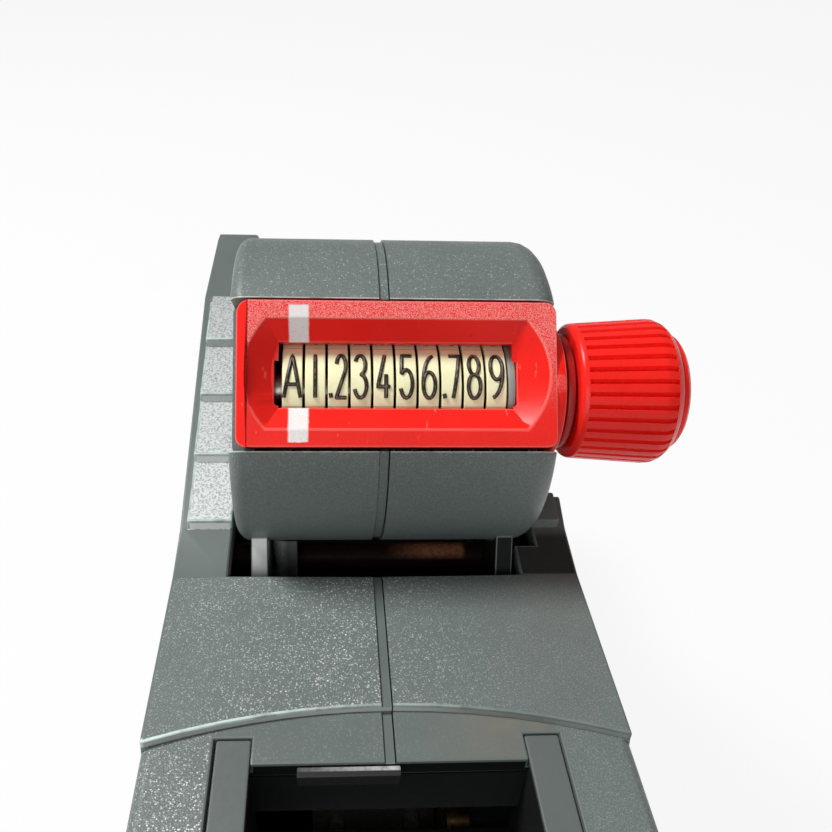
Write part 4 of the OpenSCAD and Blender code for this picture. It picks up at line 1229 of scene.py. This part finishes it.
class LABELLER_OT_stage(bpy.types.Operator):
    """Sets the floor, the lamps, the pale surround and the camera"""

    bl_idname = "labeller.stage"
    bl_label = "Stage"

    def execute(self, context):
        stage = context.scene.labeller_stage
        self.lay_floor()
        self.hang_lamp("key lamp", stage.key_power, size=0.15, place=(-0.275, 0.075, 0.535))
        self.hang_lamp("fill lamp", stage.fill_power, size=0.4, place=(-0.1, -0.46, 0.23))
        self.surround(context)
        self.set_camera(context, stage)
        return {"FINISHED"}

    def lay_floor(self):
        bpy.ops.object.select_all(action="DESELECT")
        bpy.ops.mesh.primitive_plane_add(size=6.0, location=(0.0, 0.0, -0.2 * MM))
        floor = bpy.context.view_layer.objects.active
        floor.name = "floor"
        material, shader = new_material("pale floor")
        shader.inputs["Base Color"].default_value = FLOOR_GREY
        shader.inputs["Roughness"].default_value = 0.9
        glow = shader_node(shader, "ShaderNodeEmission", Color=WHITE)
        rays = shader_node(shader, "ShaderNodeLightPath").outputs
        seen = any_of(rays["Is Camera Ray"], rays["Is Glossy Ray"], rays["Is Transmission Ray"])
        surface = material.node_tree.nodes["Material Output"].inputs["Surface"]
        blend_shaders(all_of(seen, 0.9), shader.outputs["BSDF"], glow.outputs["Emission"], surface)
        floor.data.materials.append(material)

    def hang_lamp(self, name, power, size, place, target=(0.0, 0.0, 0.06)):
        """A round lamp at a place, aimed at the middle of the labeller unless another target is given."""
        bpy.ops.object.light_add(type="AREA", location=place)
        lamp = bpy.context.view_layer.objects.active
        lamp.name = name
        lamp.data.energy = power
        lamp.data.shape = "DISK"
        lamp.data.size = size
        aim = Vector(target) - Vector(place)
        lamp.rotation_euler = aim.to_track_quat("-Z", "Y").to_euler()

    def surround(self, context):
        world = bpy.data.worlds.new("pale surround")
        world.use_nodes = True
        context.scene.world = world
        nodes = world.node_tree.nodes
        soft = nodes["Background"]
        soft.inputs["Color"].default_value = WHITE
        soft.inputs["Strength"].default_value = 0.2
        seen = shader_node(soft, "ShaderNodeBackground", Color=WHITE, Strength=1.0)
        rays = shader_node(soft, "ShaderNodeLightPath").outputs
        surface = nodes["World Output"].inputs["Surface"]
        blend_shaders(rays["Is Camera Ray"], soft.outputs["Background"], seen.outputs["Background"], surface)

    def set_camera(self, context, stage):
        bpy.ops.object.camera_add()
        camera = bpy.context.view_layer.objects.active
        camera.name = "photo camera"
        camera.data.sensor_width = 36.0
        camera.data.lens = stage.camera_lens
        camera.data.shift_x = stage.camera_shift
        camera.data.clip_start = 0.005
        camera.data.clip_end = 20.0
        turn = (Matrix.Rotation(-stage.camera_yaw, 4, "Z")
                @ Matrix.Rotation(math.pi / 2 - stage.camera_pitch, 4, "X")
                @ Matrix.Rotation(stage.camera_roll, 4, "Z"))
        camera.matrix_world = Matrix.Translation(Vector(stage.camera_place)) @ turn
        context.scene.camera = camera
        context.scene.view_settings.view_transform = "Standard"


PIECE_OPERATORS = (
    LABELLER_OT_body_shells,
    LABELLER_OT_label_well,
    LABELLER_OT_print_head,
    LABELLER_OT_window_bezel,
    LABELLER_OT_print_bands,
    LABELLER_OT_selector,
    LABELLER_OT_lever,
    LABELLER_OT_feed,
    LABELLER_OT_base,
    LABELLER_OT_stage,
)


class LABELLER_PT_panel(bpy.types.Panel):
    """Lists the labeller's pieces in the sidebar"""

    bl_idname = "LABELLER_PT_panel"
    bl_label = "Price labeller"
    bl_space_type = "VIEW_3D"
    bl_region_type = "UI"
    bl_category = "Labeller"

    def draw(self, context):
        for group in (context.scene.labeller_looks, context.scene.labeller_stage):
            for name in group.__annotations__:
                self.layout.prop(group, name)
        for operator in PIECE_OPERATORS:
            self.layout.operator(operator.bl_idname)


CLASSES = (LabellerLooks, LabellerStage, *PIECE_OPERATORS, LABELLER_PT_panel)


def register():
    for item in CLASSES:
        bpy.utils.register_class(item)
    bpy.types.Scene.labeller_looks = bpy.props.PointerProperty(type=LabellerLooks)
    bpy.types.Scene.labeller_stage = bpy.props.PointerProperty(type=LabellerStage)


def unregister():
    del bpy.types.Scene.labeller_looks
    del bpy.types.Scene.labeller_stage
    for item in reversed(CLASSES):
        bpy.utils.unregister_class(item)


def main():
    register()
    make_materials(bpy.context.scene.labeller_looks)
    for operator in PIECE_OPERATORS:
        group, name = operator.bl_idname.split(".")
        getattr(getattr(bpy.ops, group), name)()


if __name__ == "__main__":
    main()
